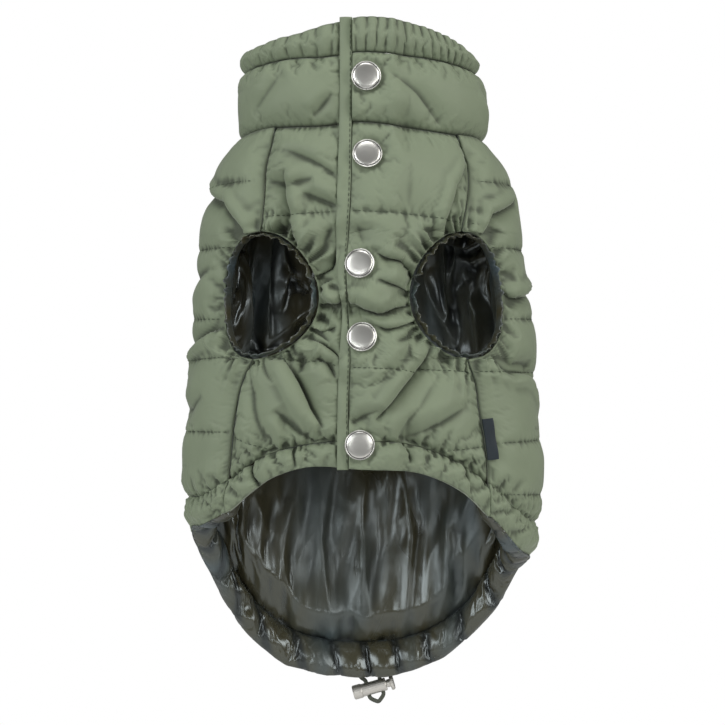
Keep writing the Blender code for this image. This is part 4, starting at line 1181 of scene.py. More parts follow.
def roll_piece(sizes, lining):
    """The hem lining, drawn in by the cord into a tube: its section is an arc of two half
    ellipses, offset = middle + reach cos(turn) and height = middle + half sin(turn), which tucks
    draw in; it ends in a lip that turns out under the hem band's edge."""
    angles, heights, down = band_grid(back_edges(), "hem_seam", "hem",
                                      steps_for(BACK_ROUND, BAND_CELL), steps_for(20, BAND_CELL),
                                      LINING_TRIM)
    slant = angles + 5.0 * (down - 0.5) + 2.0 * np.sin(0.07 * angles)
    folds = gathers(slant, ROLL_GATHERS, GATHER_COLUMNS, 8)
    fine_folds = teeth(angles * PER_DEGREE + 3.0 * down, 66, 6.0)
    turn = np.radians(ROLL_ARC[0] + (ROLL_ARC[1] - ROLL_ARC[0]) * down)
    round_it = np.sin(math.pi * np.clip(0.04 + 0.92 * down, 0.0, 1.0)) ** 0.5
    drawn = (3.0 * (1.0 - folds) + 0.8 * fine_folds * np.exp(-down * 4.0)) * round_it
    half = (level(angles, "hem_seam") - level(angles, "hem")) / 2
    reach = np.where(turn > 1.5 * math.pi, ROLL_OUT, ROLL_IN)
    offset = ROLL_MIDDLE + (reach - drawn) * np.cos(turn)
    tube = level(angles, "hem") + half + (half + 1.2 - 0.5 * drawn) * np.sin(turn)
    points = place(angles, tube, offset)[:, ::-1]
    held = edges_held(angles.shape)
    points = settled(points, held, (1.0 - np.abs(2 * down - 1.0))[:, ::-1], 0.02, 0.10,
                     sizes.pressure * 0.5, seed=71)
    lip = ease((every(down, 2, 2) - 0.8) / 0.2)[:, ::-1]
    back_angles, back_heights = every(angles, 2, 2)[:, ::-1], every(heights, 2, 2)[:, ::-1]
    back = place(back_angles, back_heights, LINING + 1.6 * lip)
    obj = wall("drawn_hem_lining", finer(points), back, [lining],
               cloth_uv(finer(angles), finer(heights))[:, ::-1],
               cloth_uv(back_angles, back_heights))
    # painted shade: the roll is darkened in its tucks and along its seam with the lining, where the
    # crevice's shade falls
    painted_crevice_shade = np.clip(1.6 * painted_shade(-drawn, 5) + np.exp(-down / 0.07), 0.0, 1.0)
    keep_painted_shade(obj, finer(painted_crevice_shade)[:, ::-1])
    return obj


def lining_piece(sizes, lining):
    """The back's lining: nylon, one loose sheet with long soft folds up and down and finer
    creases between them; along the drawn-in hem it bulges over its seam."""
    angles, heights, first, last = back_grid(LINING_TRIM)
    edge = edge_distance(angles, heights, first, last)
    pad = ease((edge - 3.0) / 20.0) + ripple(angles, heights, 83, 40.0, 0.35) * ease(edge / 12.0)
    held = edges_held(angles.shape)
    above_hem = np.maximum(heights - level(angles, "hem_seam"), 0.0)
    lip = 5.4 * (1.0 - np.exp(-(above_hem / 3.8) ** 2)) * np.exp(-above_hem / 36.0)
    start = place(angles, heights, -2.2 * pad - lip)[:, ::-1]
    points = settled(start, held[:, ::-1], 0 * angles + 0.3, 0.006, 0.02,
                     sizes.pressure * 0.3, seed=81)
    fine_angles, fine_heights = finer(angles)[:, ::-1], finer(heights)[:, ::-1]
    depth, across, up = folding(fine_angles, fine_heights, LINING_FOLDS)
    above = np.maximum(fine_heights - level(fine_angles, "hem_seam"), 0.0)
    depth = depth + (streaks(fine_angles, fine_heights, 17, 10.0, 60.0, 0.55)
                     * (1.0 + 0.9 * np.exp(-above / 28.0)))
    depth = np.maximum(depth, -1.2)
    loose = finer(ease(edge / 2.5))[:, ::-1, None]
    out = outward(fine_angles, fine_heights)
    fine = finer(points) + shifted(depth, across, up, out) * loose * MM
    back_angles, back_heights = every(angles, 2, 2)[:, ::-1], every(heights, 2, 2)[:, ::-1]
    back = place(back_angles, back_heights, np.full(back_angles.shape, LINING))
    obj = wall("nylon_back_lining", fine, back, [lining],
               cloth_uv(fine_angles, fine_heights), cloth_uv(back_angles, back_heights))
    inwards = (place(fine_angles, fine_heights, 0 * across) - fine) * out
    # painted shade: the lining's base colour is darkened in its folds
    keep_painted_shade(obj, painted_shade(inwards.sum(axis=-1) / MM, 3))
    return obj


def streaks(angles, heights, seed, width, length, tall):
    """Soft folds up and down: 6 waves, each much longer up than across; 1 - 2 |sin| ^ 1.2 makes
    round ridges with narrower hollows."""
    rng = np.random.default_rng(seed)
    x, z = angles * PER_DEGREE, heights
    total = np.zeros(np.broadcast(x, z).shape)
    for _ in range(6):
        size, run = width * rng.uniform(0.9, 3.2), length * rng.uniform(0.6, 2.5)
        bend = 0.25 * np.sin(2 * math.pi * z / (length * rng.uniform(1.0, 3.0)) + rng.uniform(0, 6))
        wave = np.sin(math.pi * (x / size + z / run + bend) + rng.uniform(0, 6))
        total += 1.0 - 2.0 * np.abs(wave) ** 1.2
    return tall * total / 6 ** 0.5


def strip_piece(shell, lining):
    """The narrow strip along the over front's free edge, folded and pressed flat."""
    top, bottom = level(0.0, "collar_top"), level(0.0, "hem")
    heights = np.linspace(top, bottom, steps_for(top - bottom, 1.0) + 1)[:, None]
    across = np.linspace(0.0, 1.0, 9)
    free_edge, stitched = strip_line(heights, "free_edge"), strip_line(heights, "stitch_line")
    angles = angle_across(free_edge + across * (stitched - free_edge), heights)
    full = heights + 0 * angles
    free, lean = snap_lean(angles, full, SNAP_RADIUS, SNAP_RADIUS + 3.0)
    inner = LIFT + lean
    swell = np.sin(math.pi * (0.05 + 0.9 * across)) ** 0.5
    bump = ripple(angles, full, 19, 16.0, 0.4)
    offset = inner + 0.8 + free * (1.3 + bump) * swell + (1.0 - free) * 1.2
    obj, fine = finish_cloth("placket_strip_cloth", place(angles, full, offset), angles, full,
                             inner, front_folds(), 0.45 * free, [shell, lining], 2, lined=True)
    rows = np.arange(2, len(heights) - 2)
    sewing_line(fine, rows, np.full(len(rows), len(across) - 2), Pieces.topstitched)
    return obj


def frill_piece(name, side, lining):
    """The ruffled lining round an armhole: a thin folded band whose section, a flat loop, is
    carried round the armhole's oval just inside the cloth's edge and is crumpled by the elastic
    into small uneven tucks, deeper at its free lip than at its root."""
    steps, sides = 420, 14
    turn = np.linspace(0.0, 2 * math.pi, steps, endpoint=False)[:, None]
    half = ARMHOLE_HALF - FRILL_INSET
    shrink = math.degrees(FRILL_INSET / FOLD_RADIUS)
    seam = abs(seam_angle(ARMHOLE_HEIGHT, side))
    reach = np.where(np.sin(turn) > 0, seam - ARMHOLE_FRONT[side] - shrink,
                     ARMHOLE_BACK[side] - seam - shrink)
    around = np.linspace(0.0, 2 * math.pi, sides, endpoint=False)
    rng = np.random.default_rng(40 + side)
    wave = np.zeros_like(turn)
    for count in (19, 27, 34, 45):
        wave += np.sin(count * turn + rng.uniform(0, 6)) * rng.uniform(0.6, 1.0) / 2.0
    bunched = 1.0 + 0.6 * np.sin(2 * turn + rng.uniform(0, 6)) * np.sin(3 * turn + side)
    wave = wave * bunched
    lip = (1.0 + np.sin(around)) / 2
    inwards = 0.5 * np.cos(around) + 0.6 * wave * (0.25 + lip) + 0.6 * lip
    centre_heights = ARMHOLE_HEIGHT + half * np.cos(turn)
    centre = abs(seam_angle(centre_heights, side)) - reach * np.sin(turn)
    angles = centre + np.degrees(inwards * np.sin(turn) / FOLD_RADIUS)
    heights = centre_heights - inwards * np.cos(turn)
    offset = 1.6 + 2.6 * np.sin(around) + 1.4 * np.roll(wave, 3, 0) * lip
    sections = place(side * angles, heights, offset + 0 * angles)
    if side > 0:
        sections = sections[:, ::-1]
    at = np.arange(steps * sides).reshape(steps, sides)
    after, beside = np.roll(at, -1, 0), np.roll(at, -1, 1)
    quads = np.stack([at, after, np.roll(after, -1, 1), beside], axis=-1).reshape(-1, 4)
    lengths = np.stack([turn * 35.0 + 0 * around, around * 1.6 + 0 * turn], axis=-1) * MM
    return add_mesh(name, sections, quads.tolist(), [lining], lengths.reshape(-1, 2))


def label_piece(woven):
    """A folded tag caught in the right lower seam, lying on the back piece: its section is a
    long flat loop of two plies, closed round at the fold, and its fold curls up a little."""
    rows, around = 41, 48
    heights = np.linspace(LABEL_TOP - 0.1, LABEL_BOTTOM + 0.1, rows)[:, None]
    t = np.linspace(0.0, 2 * math.pi, around, endpoint=False)
    reach = LABEL_WIDTH / 2
    along = reach + reach * np.sign(np.cos(t)) * np.abs(np.cos(t)) ** 0.35
    thick = 0.55 * np.sign(np.sin(t)) * np.abs(np.sin(t)) ** 0.6
    angles = seam_angle(heights, 1) + np.degrees((along - 0.5) / FOLD_RADIUS)
    full = heights + 0 * angles
    share = along / LABEL_WIDTH
    sag = 0.35 * np.sin(full * 0.42) * share
    offset = LABEL_LOW + LABEL_RISE * (1.0 - np.exp(-(along / 5.5) ** 1.1)) + thick + sag
    points = place(angles, full + 0.6 * share ** 2, offset)
    places = np.stack([along + 0 * heights, heights + 0 * along], axis=-1) * MM
    return add_mesh("folded_label", points, tube_faces(rows, around), [woven],
                    places.reshape(-1, 2), sharp=60)


def tape_piece(tape):
    """The pale tape behind the hem, over the cord's way out: a thin flat strip that hangs down
    on the hem's outside; its offset waves a little and its lower edge slants."""
    top, bottom = TAPE_HEIGHTS
    rows, cols = 24, 36
    down = np.linspace(0.0, 1.0, rows + 1)[:, None]
    angles = np.linspace(*TAPE_ANGLES, cols + 1) + 0 * down
    across = (angles - TAPE_ANGLES[0]) / (TAPE_ANGLES[1] - TAPE_ANGLES[0])
    heights = top + down * (bottom + TAPE_SLANT * across - top)
    offset = TAPE_OUT + 0.25 * np.sin(7.0 * across) * down + 0.15 * np.sin(5.0 * down)
    return wall("hem_tape_cloth", place(angles, heights, offset + TAPE_WALL),
                every(place(angles, heights, offset), 2, 2), [tape],
                cloth_uv(angles, heights), every(cloth_uv(angles, heights), 2, 2))


def lathe(profile, segments):
    """Points and faces of a solid turned about +Z: each profile point (radius, height) makes a
    ring, and the first and last points, at radius 0, are its poles."""
    turn = np.linspace(0.0, 2 * math.pi, segments, endpoint=False)
    rings = np.array(profile[1:-1])
    points = np.stack([rings[:, :1] * np.cos(turn), rings[:, :1] * np.sin(turn),
                       rings[:, 1:] + 0 * turn], axis=-1).reshape(-1, 3)
    points = np.concatenate([[(0.0, 0.0, profile[0][1])], points, [(0.0, 0.0, profile[-1][1])]])
    faces, at = ring_faces(len(rings), segments, 1)
    beside = np.roll(at, -1, 1)
    last = len(points) - 1
    faces += np.stack([0 * at[0], beside[0], at[0]], axis=-1).tolist()
    faces += np.stack([at[-1], beside[-1], 0 * at[-1] + last], axis=-1).tolist()
    return points, faces


def node_points(name):
    """The corner points of a solid, each once."""
    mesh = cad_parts[name].data
    coords = np.empty(len(mesh.vertices) * 3, dtype=np.float32)
    mesh.vertices.foreach_get("co", coords)
    return np.unique(np.round(coords.reshape(-1, 3).astype(float), 7), axis=0)


def snap_piece(number, nickel, groove):
    """A pressed cap where its solid lies: domed rim, sunk groove and bare, slightly domed
    middle. Its axis is the direction in which the solid is thinnest."""
    solid = node_points(f"snap_cap_{number}")
    middle = (solid.min(axis=0) + solid.max(axis=0)) / 2
    axes = np.linalg.svd(solid - solid.mean(axis=0), full_matrices=False)[2]
    up = axes[2] if axes[2][1] < 0 else -axes[2]
    side = np.cross((0.0, 0.0, 1.0), up)
    side /= np.linalg.norm(side)
    turn = np.stack([side, np.cross(up, side), up])
    base = ((solid - middle) @ up).min() / MM
    r = SNAP_RADIUS
    rim = [(r - 0.32 + 0.32 * math.cos(a), 0.85 + 0.32 * math.sin(a))
           for a in np.linspace(-1.3, 1.7, 10)]
    inner = [(r - 0.62, 1.0), (r - 0.86, 1.0), (r - 1.0, 1.2), (r - 1.8, 1.38), (r * 0.6, 1.55),
             (r * 0.4, 1.62), (r * 0.2, 1.66)]
    profile = [(0.0, 0.1), (r - 1.2, 0.1)] + rim + inner + [(0.0, 1.68)]
    points, faces = lathe(profile, SNAP_SEGMENTS)
    points = points + (0.0, 0.0, base)
    world = middle + (points * MM) @ turn
    obj = add_mesh(f"snap_{number}", world, faces, [nickel, groove], sharp=50)
    index = np.zeros(len(faces), dtype=np.int32)
    groove_ring = 1 + len(rim)
    index[groove_ring * SNAP_SEGMENTS:(groove_ring + 2) * SNAP_SEGMENTS] = 1
    obj.data.polygons.foreach_set("material_index", index)
    return obj


def smooth_route(points, steps):
    """Points on a smooth curve through the route's own points."""
    points = np.array(points, dtype=float)
    lengths = np.concatenate([[0.0], np.cumsum(np.linalg.norm(np.diff(points, axis=0), axis=1))])
    along = np.linspace(0.0, lengths[-1], steps)
    return np.stack([through(along, lengths, points[:, k]) for k in range(3)], axis=1)


def cord_route():
    """The drawcord's free stretch: down through one hole of the lock, round a small loop and up
    through the other."""
    tilt = math.radians(LOCK_TILT)
    axis = np.array([math.cos(tilt), 0.0, math.sin(tilt)])
    down = np.array([math.sin(tilt), 0.0, -math.cos(tilt)])
    start = np.array([LOCK_START[0], LOCK_BEHIND, LOCK_START[1]])
    first, second = (start + along * axis for along in HOLES)
    r = BARREL_RADIUS
    return [
        (-1.6, LOCK_BEHIND, -276.9),
        (-0.3, LOCK_BEHIND, -278.3),
        tuple(first - down * (r + 0.6)),
        tuple(first - down * (0.5 * r)),
        tuple(first + down * (0.5 * r)),
        tuple(first + down * (r + 0.8)),
        tuple(0.72 * first + 0.28 * second + down * (r + 3.0)),
        tuple(0.5 * first + 0.5 * second + down * (r + 3.9)),
        tuple(0.28 * first + 0.72 * second + down * (r + 3.0)),
        tuple(second + down * (r + 0.8)),
        tuple(second + down * (0.5 * r)),
        tuple(second - down * (0.5 * r)),
        (9.0, LOCK_BEHIND, -278.2),
        (8.9, LOCK_BEHIND, -277.4),
    ]


def tube(route, radii, start_side):
    """A closed tube: rings square to the route, each starting at a level side direction."""
    route = np.asarray(route, dtype=float)
    ahead = np.gradient(route, axis=0)
    ahead /= np.linalg.norm(ahead, axis=1, keepdims=True)
    side = start_side - (ahead @ start_side)[:, None] * ahead
    side /= np.linalg.norm(side, axis=1, keepdims=True)
    other = np.cross(ahead, side)
    count, sides = radii.shape
    turn = np.linspace(0.0, 2 * math.pi, sides, endpoint=False)
    points = route[:, None] + radii[..., None] * (np.cos(turn)[:, None] * side[:, None]
                                                  + np.sin(turn)[:, None] * other[:, None])
    return points, tube_faces(count, sides)


def cord_piece(sizes, braid):
    """The drawcord: a tube whose surface rises and falls as sin(p turns + k) * sin(p turns - k)
    along it, the two ways of a braid."""
    route = smooth_route(cord_route(), 220) * MM
    count, sides = len(route), 16
    radius = sizes.cord / 2
    along = np.concatenate([[0.0], np.cumsum(np.linalg.norm(np.diff(route, axis=0), axis=1))])
    twist = (along / (1.9 * MM))[:, None] * 2 * math.pi
    turn = np.linspace(0.0, 2 * math.pi, sides, endpoint=False)
    braid_rise = np.sin(4 * turn + twist) * np.sin(4 * turn - twist)
    radii = radius * (0.96 + 0.06 * braid_rise)
    points, faces = tube(route, radii, np.array([0.0, 1.0, 0.0]))
    places = np.stack([along[:, None] + 0 * turn, (turn * radius) + 0 * along[:, None]], axis=-1)
    obj = add_mesh("drawcord", points, faces, [braid], places.reshape(-1, 2))
    return obj, route, float(along[-1])


def stitches(name, lines, pitch, length, thickness, thread):
    """Stitches along sewing lines: each is a thin rounded stick of 6 sides whose radius follows
    sin(pi t) ^ 0.5 from end to end, bent with the line it lies on."""
    rings, sides = 5, 6
    t = np.linspace(0.0, 1.0, rings)
    turn = np.linspace(0.0, 2 * math.pi, sides, endpoint=False)
    swell = 0.25 + 0.75 * np.sin(math.pi * t) ** 0.5
    points, faces = [], []
    one = tube_faces(rings, sides)
    total = 0
    for line, out in lines:
        along = np.concatenate([[0.0], np.cumsum(np.linalg.norm(np.diff(line, axis=0), axis=1))])
        begins = np.arange(pitch / 2, along[-1] - length, pitch)
        spots = begins[:, None] + length * t
        centre = np.stack([np.interp(spots, along, line[:, k]) for k in range(3)], axis=-1)
        normal = np.stack([np.interp(spots, along, out[:, k]) for k in range(3)], axis=-1)
        ahead = np.gradient(centre, axis=1)
        ahead /= np.maximum(np.linalg.norm(ahead, axis=-1, keepdims=True), 1e-12)
        side = np.cross(ahead, normal)
        side /= np.maximum(np.linalg.norm(side, axis=-1, keepdims=True), 1e-12)
        up = np.cross(side, ahead)
        centre = centre + up * thickness * 0.35
        radius = (thickness / 2 * swell)[None, :, None, None]
        ring = centre[:, :, None] + radius * (np.cos(turn)[:, None] * side[:, :, None]
                                              + np.sin(turn)[:, None] * up[:, :, None])
        points.append(ring.reshape(-1, 3))
        for _ in begins:
            faces += [[corner + total for corner in face] for face in one]
            total += rings * sides
    return add_mesh(name, np.concatenate(points), faces, [thread])


# ================================ materials ======================================================

def add(tree, kind, settings=None, links=None):
    """Adds a node with its settings, which are properties or input values, and the links into
    it, which are inputs and the outputs that feed them."""
    node = tree.nodes.new(kind)
    for key, value in (settings or {}).items():
        if isinstance(key, str) and key in node.bl_rna.properties:
            setattr(node, key, value)
        else:
            node.inputs[key].default_value = value
    for key, source in (links or {}).items():
        tree.links.new(source, node.inputs[key])
    return node


def base_material(name, colour, roughness, **settings):
    """A Principled material with its plain values, its node tree and its shader."""
    mat = bpy.data.materials.new(name)
    mat.use_nodes = True
    shader = mat.node_tree.nodes["Principled BSDF"]
    values = {"Base Color": (*colour, 1.0), "Roughness": roughness, **settings}
    for key, value in values.items():
        shader.inputs[key.replace("_", " ")].default_value = value
    mat.diffuse_color = (*colour, 1.0)
    return mat, mat.node_tree, shader


def tinted(tree, shader, colour, factor, low, high):
    """Base colour between two multiples of a colour, by a factor from 0 to 1."""
    mix = add(tree, "ShaderNodeMix", {"data_type": "RGBA",
                                      6: (*(low * np.array(colour)), 1.0),
                                      7: (*np.clip(high * np.array(colour), 0, 1), 1.0)},
              {0: factor})
    tree.links.new(mix.outputs[2], shader.inputs["Base Color"])
    return mix


def paint_shade_in_hollows(tree, shader, plain, share):
    """Painted shade: base colour times a share in the mesh's hollows, darkened there as shade in
    folds would be.
    """
    painted_shade_mask = add(tree, "ShaderNodeAttribute", {"attribute_name": "painted_shade"})
    mix = add(tree, "ShaderNodeMix", {"data_type": "RGBA", "blend_type": "MULTIPLY",
                                      7: (share, share, share, 1.0)},
              {0: painted_shade_mask.outputs["Fac"], 6: plain.outputs[2]})
    tree.links.new(mix.outputs[2], shader.inputs["Base Color"])


def woven(tree, vector, spacing, spread):
    """A plain weave: the larger of two bands of threads, sine waves along and across."""
    scale = math.pi / (10.0 * spacing)
    bands = [add(tree, "ShaderNodeTexWave", {"bands_direction": way, "Scale": scale,
                                             "Distortion": spread, "Detail": 1.0},
                 {"Vector": vector}).outputs["Fac"] for way in ("X", "Y")]
    return add(tree, "ShaderNodeMath", {"operation": "MAXIMUM"}, {0: bands[0], 1: bands[1]})


def shell_cloth(colour, weave):
    """Matte polyester pongee, calendered on the back: fine plain weave, faint mottling, soft
    sheen at grazing light. The weave is drawn six times coarser than its real 0.15 mm."""
    mat, tree, shader = base_material("matte_polyester_pongee", colour, 0.62)
    shader.inputs["Sheen Weight"].default_value = 0.25
    shader.inputs["Sheen Roughness"].default_value = 0.45
    shader.inputs["Sheen Tint"].default_value = (0.85, 0.9, 0.8, 1.0)
    shader.inputs["Specular IOR Level"].default_value = 0.35
    coords = add(tree, "ShaderNodeTexCoord")
    uv, spot = coords.outputs["UV"], coords.outputs["Object"]
    mottle = add(tree, "ShaderNodeTexNoise", {"Scale": 45.0, "Detail": 4.0, "Roughness": 0.55},
                 {"Vector": spot})
    plain = tinted(tree, shader, colour, mottle.outputs["Fac"], 0.90, 1.10)
    # painted shade: base colour down to 0.35 in the folds, seams and quilting lines
    paint_shade_in_hollows(tree, shader, plain, 0.35)
    threads = woven(tree, uv, weave, 0.6)
    crumple = add(tree, "ShaderNodeTexNoise", {"Scale": 160.0, "Detail": 3.0, "Distortion": 0.4},
                  {"Vector": spot})
    first = add(tree, "ShaderNodeBump", {"Strength": 0.25, "Distance": 0.0005},
                {"Height": crumple.outputs["Fac"]})
    second = add(tree, "ShaderNodeBump", {"Strength": 0.12, "Distance": 0.0001},
                 {"Height": threads.outputs[0], "Normal": first.outputs[0]})
    tree.links.new(second.outputs[0], shader.inputs["Normal"])
    rough = add(tree, "ShaderNodeMapRange", {"To Min": 0.56, "To Max": 0.70},
                {"Value": mottle.outputs["Fac"]})
    tree.links.new(rough.outputs[0], shader.inputs["Roughness"])
    return mat


def lining_cloth(colour, sheen):
    """Cire-finished nylon taffeta: dark brown grey and glossy, with cool highlights along its soft
    folds, painted sheen in blue-grey patches of its base colour, and a few fine creases, mostly up
    and down, in the finish itself."""
    mat, tree, shader = base_material("glossy_nylon_taffeta", colour, 0.30)
    shader.inputs["Specular IOR Level"].default_value = 1.0
    shader.inputs["Specular Tint"].default_value = (0.86, 0.97, 1.0, 1.0)
    shader.inputs["Sheen Weight"].default_value = 0.3
    shader.inputs["Sheen Roughness"].default_value = 0.35
    shader.inputs["Sheen Tint"].default_value = (*sheen, 1.0)
    coords = add(tree, "ShaderNodeTexCoord")
    uv, spot = coords.outputs["UV"], coords.outputs["Object"]
    tall = add(tree, "ShaderNodeMapping", {"Scale": (1.0, 0.4, 1.0)}, {"Vector": uv})
    patches = add(tree, "ShaderNodeTexNoise", {"Scale": 30.0, "Detail": 2.0, "Distortion": 0.6},
                  {"Vector": tall.outputs[0]})
    # painted sheen: patches of the base colour turn to a dark share of the cool sheen colour
    painted_sheen_mask = add(tree, "ShaderNodeMapRange", {"From Min": 0.48, "From Max": 0.78},
                   {"Value": patches.outputs["Fac"]})
    mix = add(tree, "ShaderNodeMix", {"data_type": "RGBA", 6: (*colour, 1.0),
                                      7: (*(0.34 * np.array(sheen)), 1.0)},
              {0: painted_sheen_mask.outputs[0]})
    # painted shade: base colour down to 0.15 in the lining's hollows
    paint_shade_in_hollows(tree, shader, mix, 0.15)
    upright = add(tree, "ShaderNodeMapping", {"Scale": (1.0, 0.14, 1.0)}, {"Vector": uv})
    creases = add(tree, "ShaderNodeTexNoise", {"Scale": 210.0, "Detail": 2.0, "Distortion": 0.8},
                  {"Vector": upright.outputs[0]})
    crumple = add(tree, "ShaderNodeTexNoise", {"Scale": 30.0, "Detail": 2.0, "Distortion": 0.5},
                  {"Vector": spot})
    sparse = add(tree, "ShaderNodeMapRange", {"From Min": 0.66, "From Max": 0.86},
                 {"Value": creases.outputs["Fac"]})
    slanted = add(tree, "ShaderNodeMapping", {"Rotation": (0.0, 0.0, 0.9),
                                              "Scale": (1.0, 0.2, 1.0)}, {"Vector": uv})
    crossing = add(tree, "ShaderNodeTexNoise", {"Scale": 170.0, "Detail": 2.0, "Distortion": 0.8},
                   {"Vector": slanted.outputs[0]})
    rare = add(tree, "ShaderNodeMapRange", {"From Min": 0.66, "From Max": 0.84},
               {"Value": crossing.outputs["Fac"]})
    first = add(tree, "ShaderNodeBump", {"Strength": 0.4, "Distance": 0.0006},
                {"Height": sparse.outputs[0]})
    second = add(tree, "ShaderNodeBump", {"Strength": 0.4, "Distance": 0.0005},
                 {"Height": rare.outputs[0], "Normal": first.outputs[0]})
    third = add(tree, "ShaderNodeBump", {"Strength": 0.4, "Distance": 0.003},
                {"Height": crumple.outputs["Fac"], "Normal": second.outputs[0]})
    tree.links.new(third.outputs[0], shader.inputs["Normal"])
    gloss = add(tree, "ShaderNodeMapRange", {"From Min": 0.35, "From Max": 0.65,
                                             "To Min": 0.24, "To Max": 0.40},
                {"Value": patches.outputs["Fac"]})
    tree.links.new(gloss.outputs[0], shader.inputs["Roughness"])
    return mat


def thread_material(colour):
    """Spun polyester sewing thread: matte, with a fine twist."""
    mat, tree, shader = base_material("spun_polyester_thread", colour, 0.7)
    coords = add(tree, "ShaderNodeTexCoord")
    twist = add(tree, "ShaderNodeTexWave", {"bands_direction": "DIAGONAL", "Scale": 900.0},
                {"Vector": coords.outputs["Object"]})
    bump = add(tree, "ShaderNodeBump", {"Strength": 0.4, "Distance": 0.0001},
               {"Height": twist.outputs["Fac"]})
    tree.links.new(bump.outputs[0], shader.inputs["Normal"])
    tinted(tree, shader, colour, twist.outputs["Fac"], 0.8, 1.1)
    return mat


def label_cloth(colour):
    """Damask-woven polyester label: dense cross threads with a satin shine."""
    mat, tree, shader = base_material("damask_woven_label", colour, 0.55)
    shader.inputs["Sheen Weight"].default_value = 0.05
    coords = add(tree, "ShaderNodeTexCoord")
    threads = woven(tree, coords.outputs["UV"], 0.45 * MM, 0.3)
    bump = add(tree, "ShaderNodeBump", {"Strength": 0.35, "Distance": 0.0001},
               {"Height": threads.outputs[0]})
    tree.links.new(bump.outputs[0], shader.inputs["Normal"])
    tinted(tree, shader, colour, threads.outputs[0], 0.7, 1.4)
    return mat


def braid_cloth(colour):
    """Braided polyester cord: diamond pattern of strands, dull."""
    mat, tree, shader = base_material("braided_polyester_cord", colour, 0.75)
    coords = add(tree, "ShaderNodeTexCoord")
    turned_uv = add(tree, "ShaderNodeMapping", {"Rotation": (0.0, 0.0, math.radians(45))},
                    {"Vector": coords.outputs["UV"]})
    strands = woven(tree, turned_uv.outputs[0], 0.5 * MM, 0.1)
    bump = add(tree, "ShaderNodeBump", {"Strength": 0.6, "Distance": 0.0002},
               {"Height": strands.outputs[0]})
    tree.links.new(bump.outputs[0], shader.inputs["Normal"])
    tinted(tree, shader, colour, strands.outputs[0], 0.6, 1.3)
    return mat


def tape_cloth(colour):
    """Twill cotton tape: diagonal ribs, matte and pale."""
    mat, tree, shader = base_material("twill_cotton_tape", colour, 0.8)
    coords = add(tree, "ShaderNodeTexCoord")
    ribs = add(tree, "ShaderNodeTexWave", {"bands_direction": "DIAGONAL", "Scale": 420.0},
               {"Vector": coords.outputs["Object"]})
    bump = add(tree, "ShaderNodeBump", {"Strength": 0.3, "Distance": 0.0002},
               {"Height": ribs.outputs["Fac"]})
    tree.links.new(bump.outputs[0], shader.inputs["Normal"])
    tinted(tree, shader, colour, ribs.outputs["Fac"], 0.93, 1.02)
    return mat


def nickel_metal(colour):
    """Nickel-plated pressed steel: bright, with fine handling scratches."""
    mat, tree, shader = base_material("nickel_plated_steel", colour, 0.30, Metallic=1.0)
    coords = add(tree, "ShaderNodeTexCoord")
    stretched = add(tree, "ShaderNodeMapping", {"Scale": (1.0, 1.0, 7.0)},
                    {"Vector": coords.outputs["Object"]})
    scratches = add(tree, "ShaderNodeTexNoise", {"Scale": 900.0, "Detail": 2.0},
                    {"Vector": stretched.outputs[0]})
    rough = add(tree, "ShaderNodeMapRange", {"To Min": 0.26, "To Max": 0.40},
                {"Value": scratches.outputs["Fac"]})
    tree.links.new(rough.outputs[0], shader.inputs["Roughness"])
    bump = add(tree, "ShaderNodeBump", {"Strength": 0.08, "Distance": 0.0001},
               {"Height": scratches.outputs["Fac"]})
    tree.links.new(bump.outputs[0], shader.inputs["Normal"])
    return mat


def dark_groove_material():
    """Dark, half-matte colour in the snap's pressed groove, unevenly speckled."""
    colour = linear("#2B2B29")
    mat, tree, shader = base_material("dark_groove_colour", colour, 0.45)
    coords = add(tree, "ShaderNodeTexCoord")
    groove_speckle = add(tree, "ShaderNodeTexNoise", {"Scale": 700.0}, {"Vector": coords.outputs["Object"]})
    tinted(tree, shader, colour, groove_speckle.outputs["Fac"], 0.6, 1.6)
    return mat


def satin_metal(colour):
    """Bead-blasted zinc alloy with a satin nickel finish: soft, even gloss with fine grain."""
    mat, tree, shader = base_material("satin_nickel_zinc", colour, 0.36, Metallic=1.0)
    coords = add(tree, "ShaderNodeTexCoord")
    grain = add(tree, "ShaderNodeTexNoise", {"Scale": 2600.0, "Detail": 2.0},
                {"Vector": coords.outputs["Object"]})
    bump = add(tree, "ShaderNodeBump", {"Strength": 0.12, "Distance": 0.0001},
               {"Height": grain.outputs["Fac"]})
    tree.links.new(bump.outputs[0], shader.inputs["Normal"])
    rough = add(tree, "ShaderNodeMapRange", {"To Min": 0.30, "To Max": 0.44},
                {"Value": grain.outputs["Fac"]})
    tree.links.new(rough.outputs[0], shader.inputs["Roughness"])
    return mat


def floor_paper(colour):
    """Seamless white studio paper: matte, with a barely visible grain."""
    mat, tree, shader = base_material("white_studio_paper", colour, 0.9)
    coords = add(tree, "ShaderNodeTexCoord")
    grain = add(tree, "ShaderNodeTexNoise", {"Scale": 300.0}, {"Vector": coords.outputs["Object"]})
    bump = add(tree, "ShaderNodeBump", {"Strength": 0.05, "Distance": 0.0002},
               {"Height": grain.outputs["Fac"]})
    tree.links.new(bump.outputs[0], shader.inputs["Normal"])
    return mat


MATERIALS = {}


def materials_of(context):
    """The materials, made once from the colours that the user set."""
    if not MATERIALS:
        colours, sizes = context.scene.vest_colours, context.scene.vest_sizes
        MATERIALS.update(
            shell=shell_cloth(tuple(colours.shell), sizes.weave),
            lining=lining_cloth(tuple(colours.lining), tuple(colours.lining_sheen)),
            thread=thread_material(tuple(colours.thread)),
            label=label_cloth(tuple(colours.label)),
            cord=braid_cloth(tuple(colours.cord)),
            tape=tape_cloth(tuple(colours.tape)),
            nickel=nickel_metal(tuple(colours.nickel)),
            groove=dark_groove_material(),
            satin=satin_metal(tuple(colours.satin)),
            floor=floor_paper(tuple(colours.floor)))
    return MATERIALS


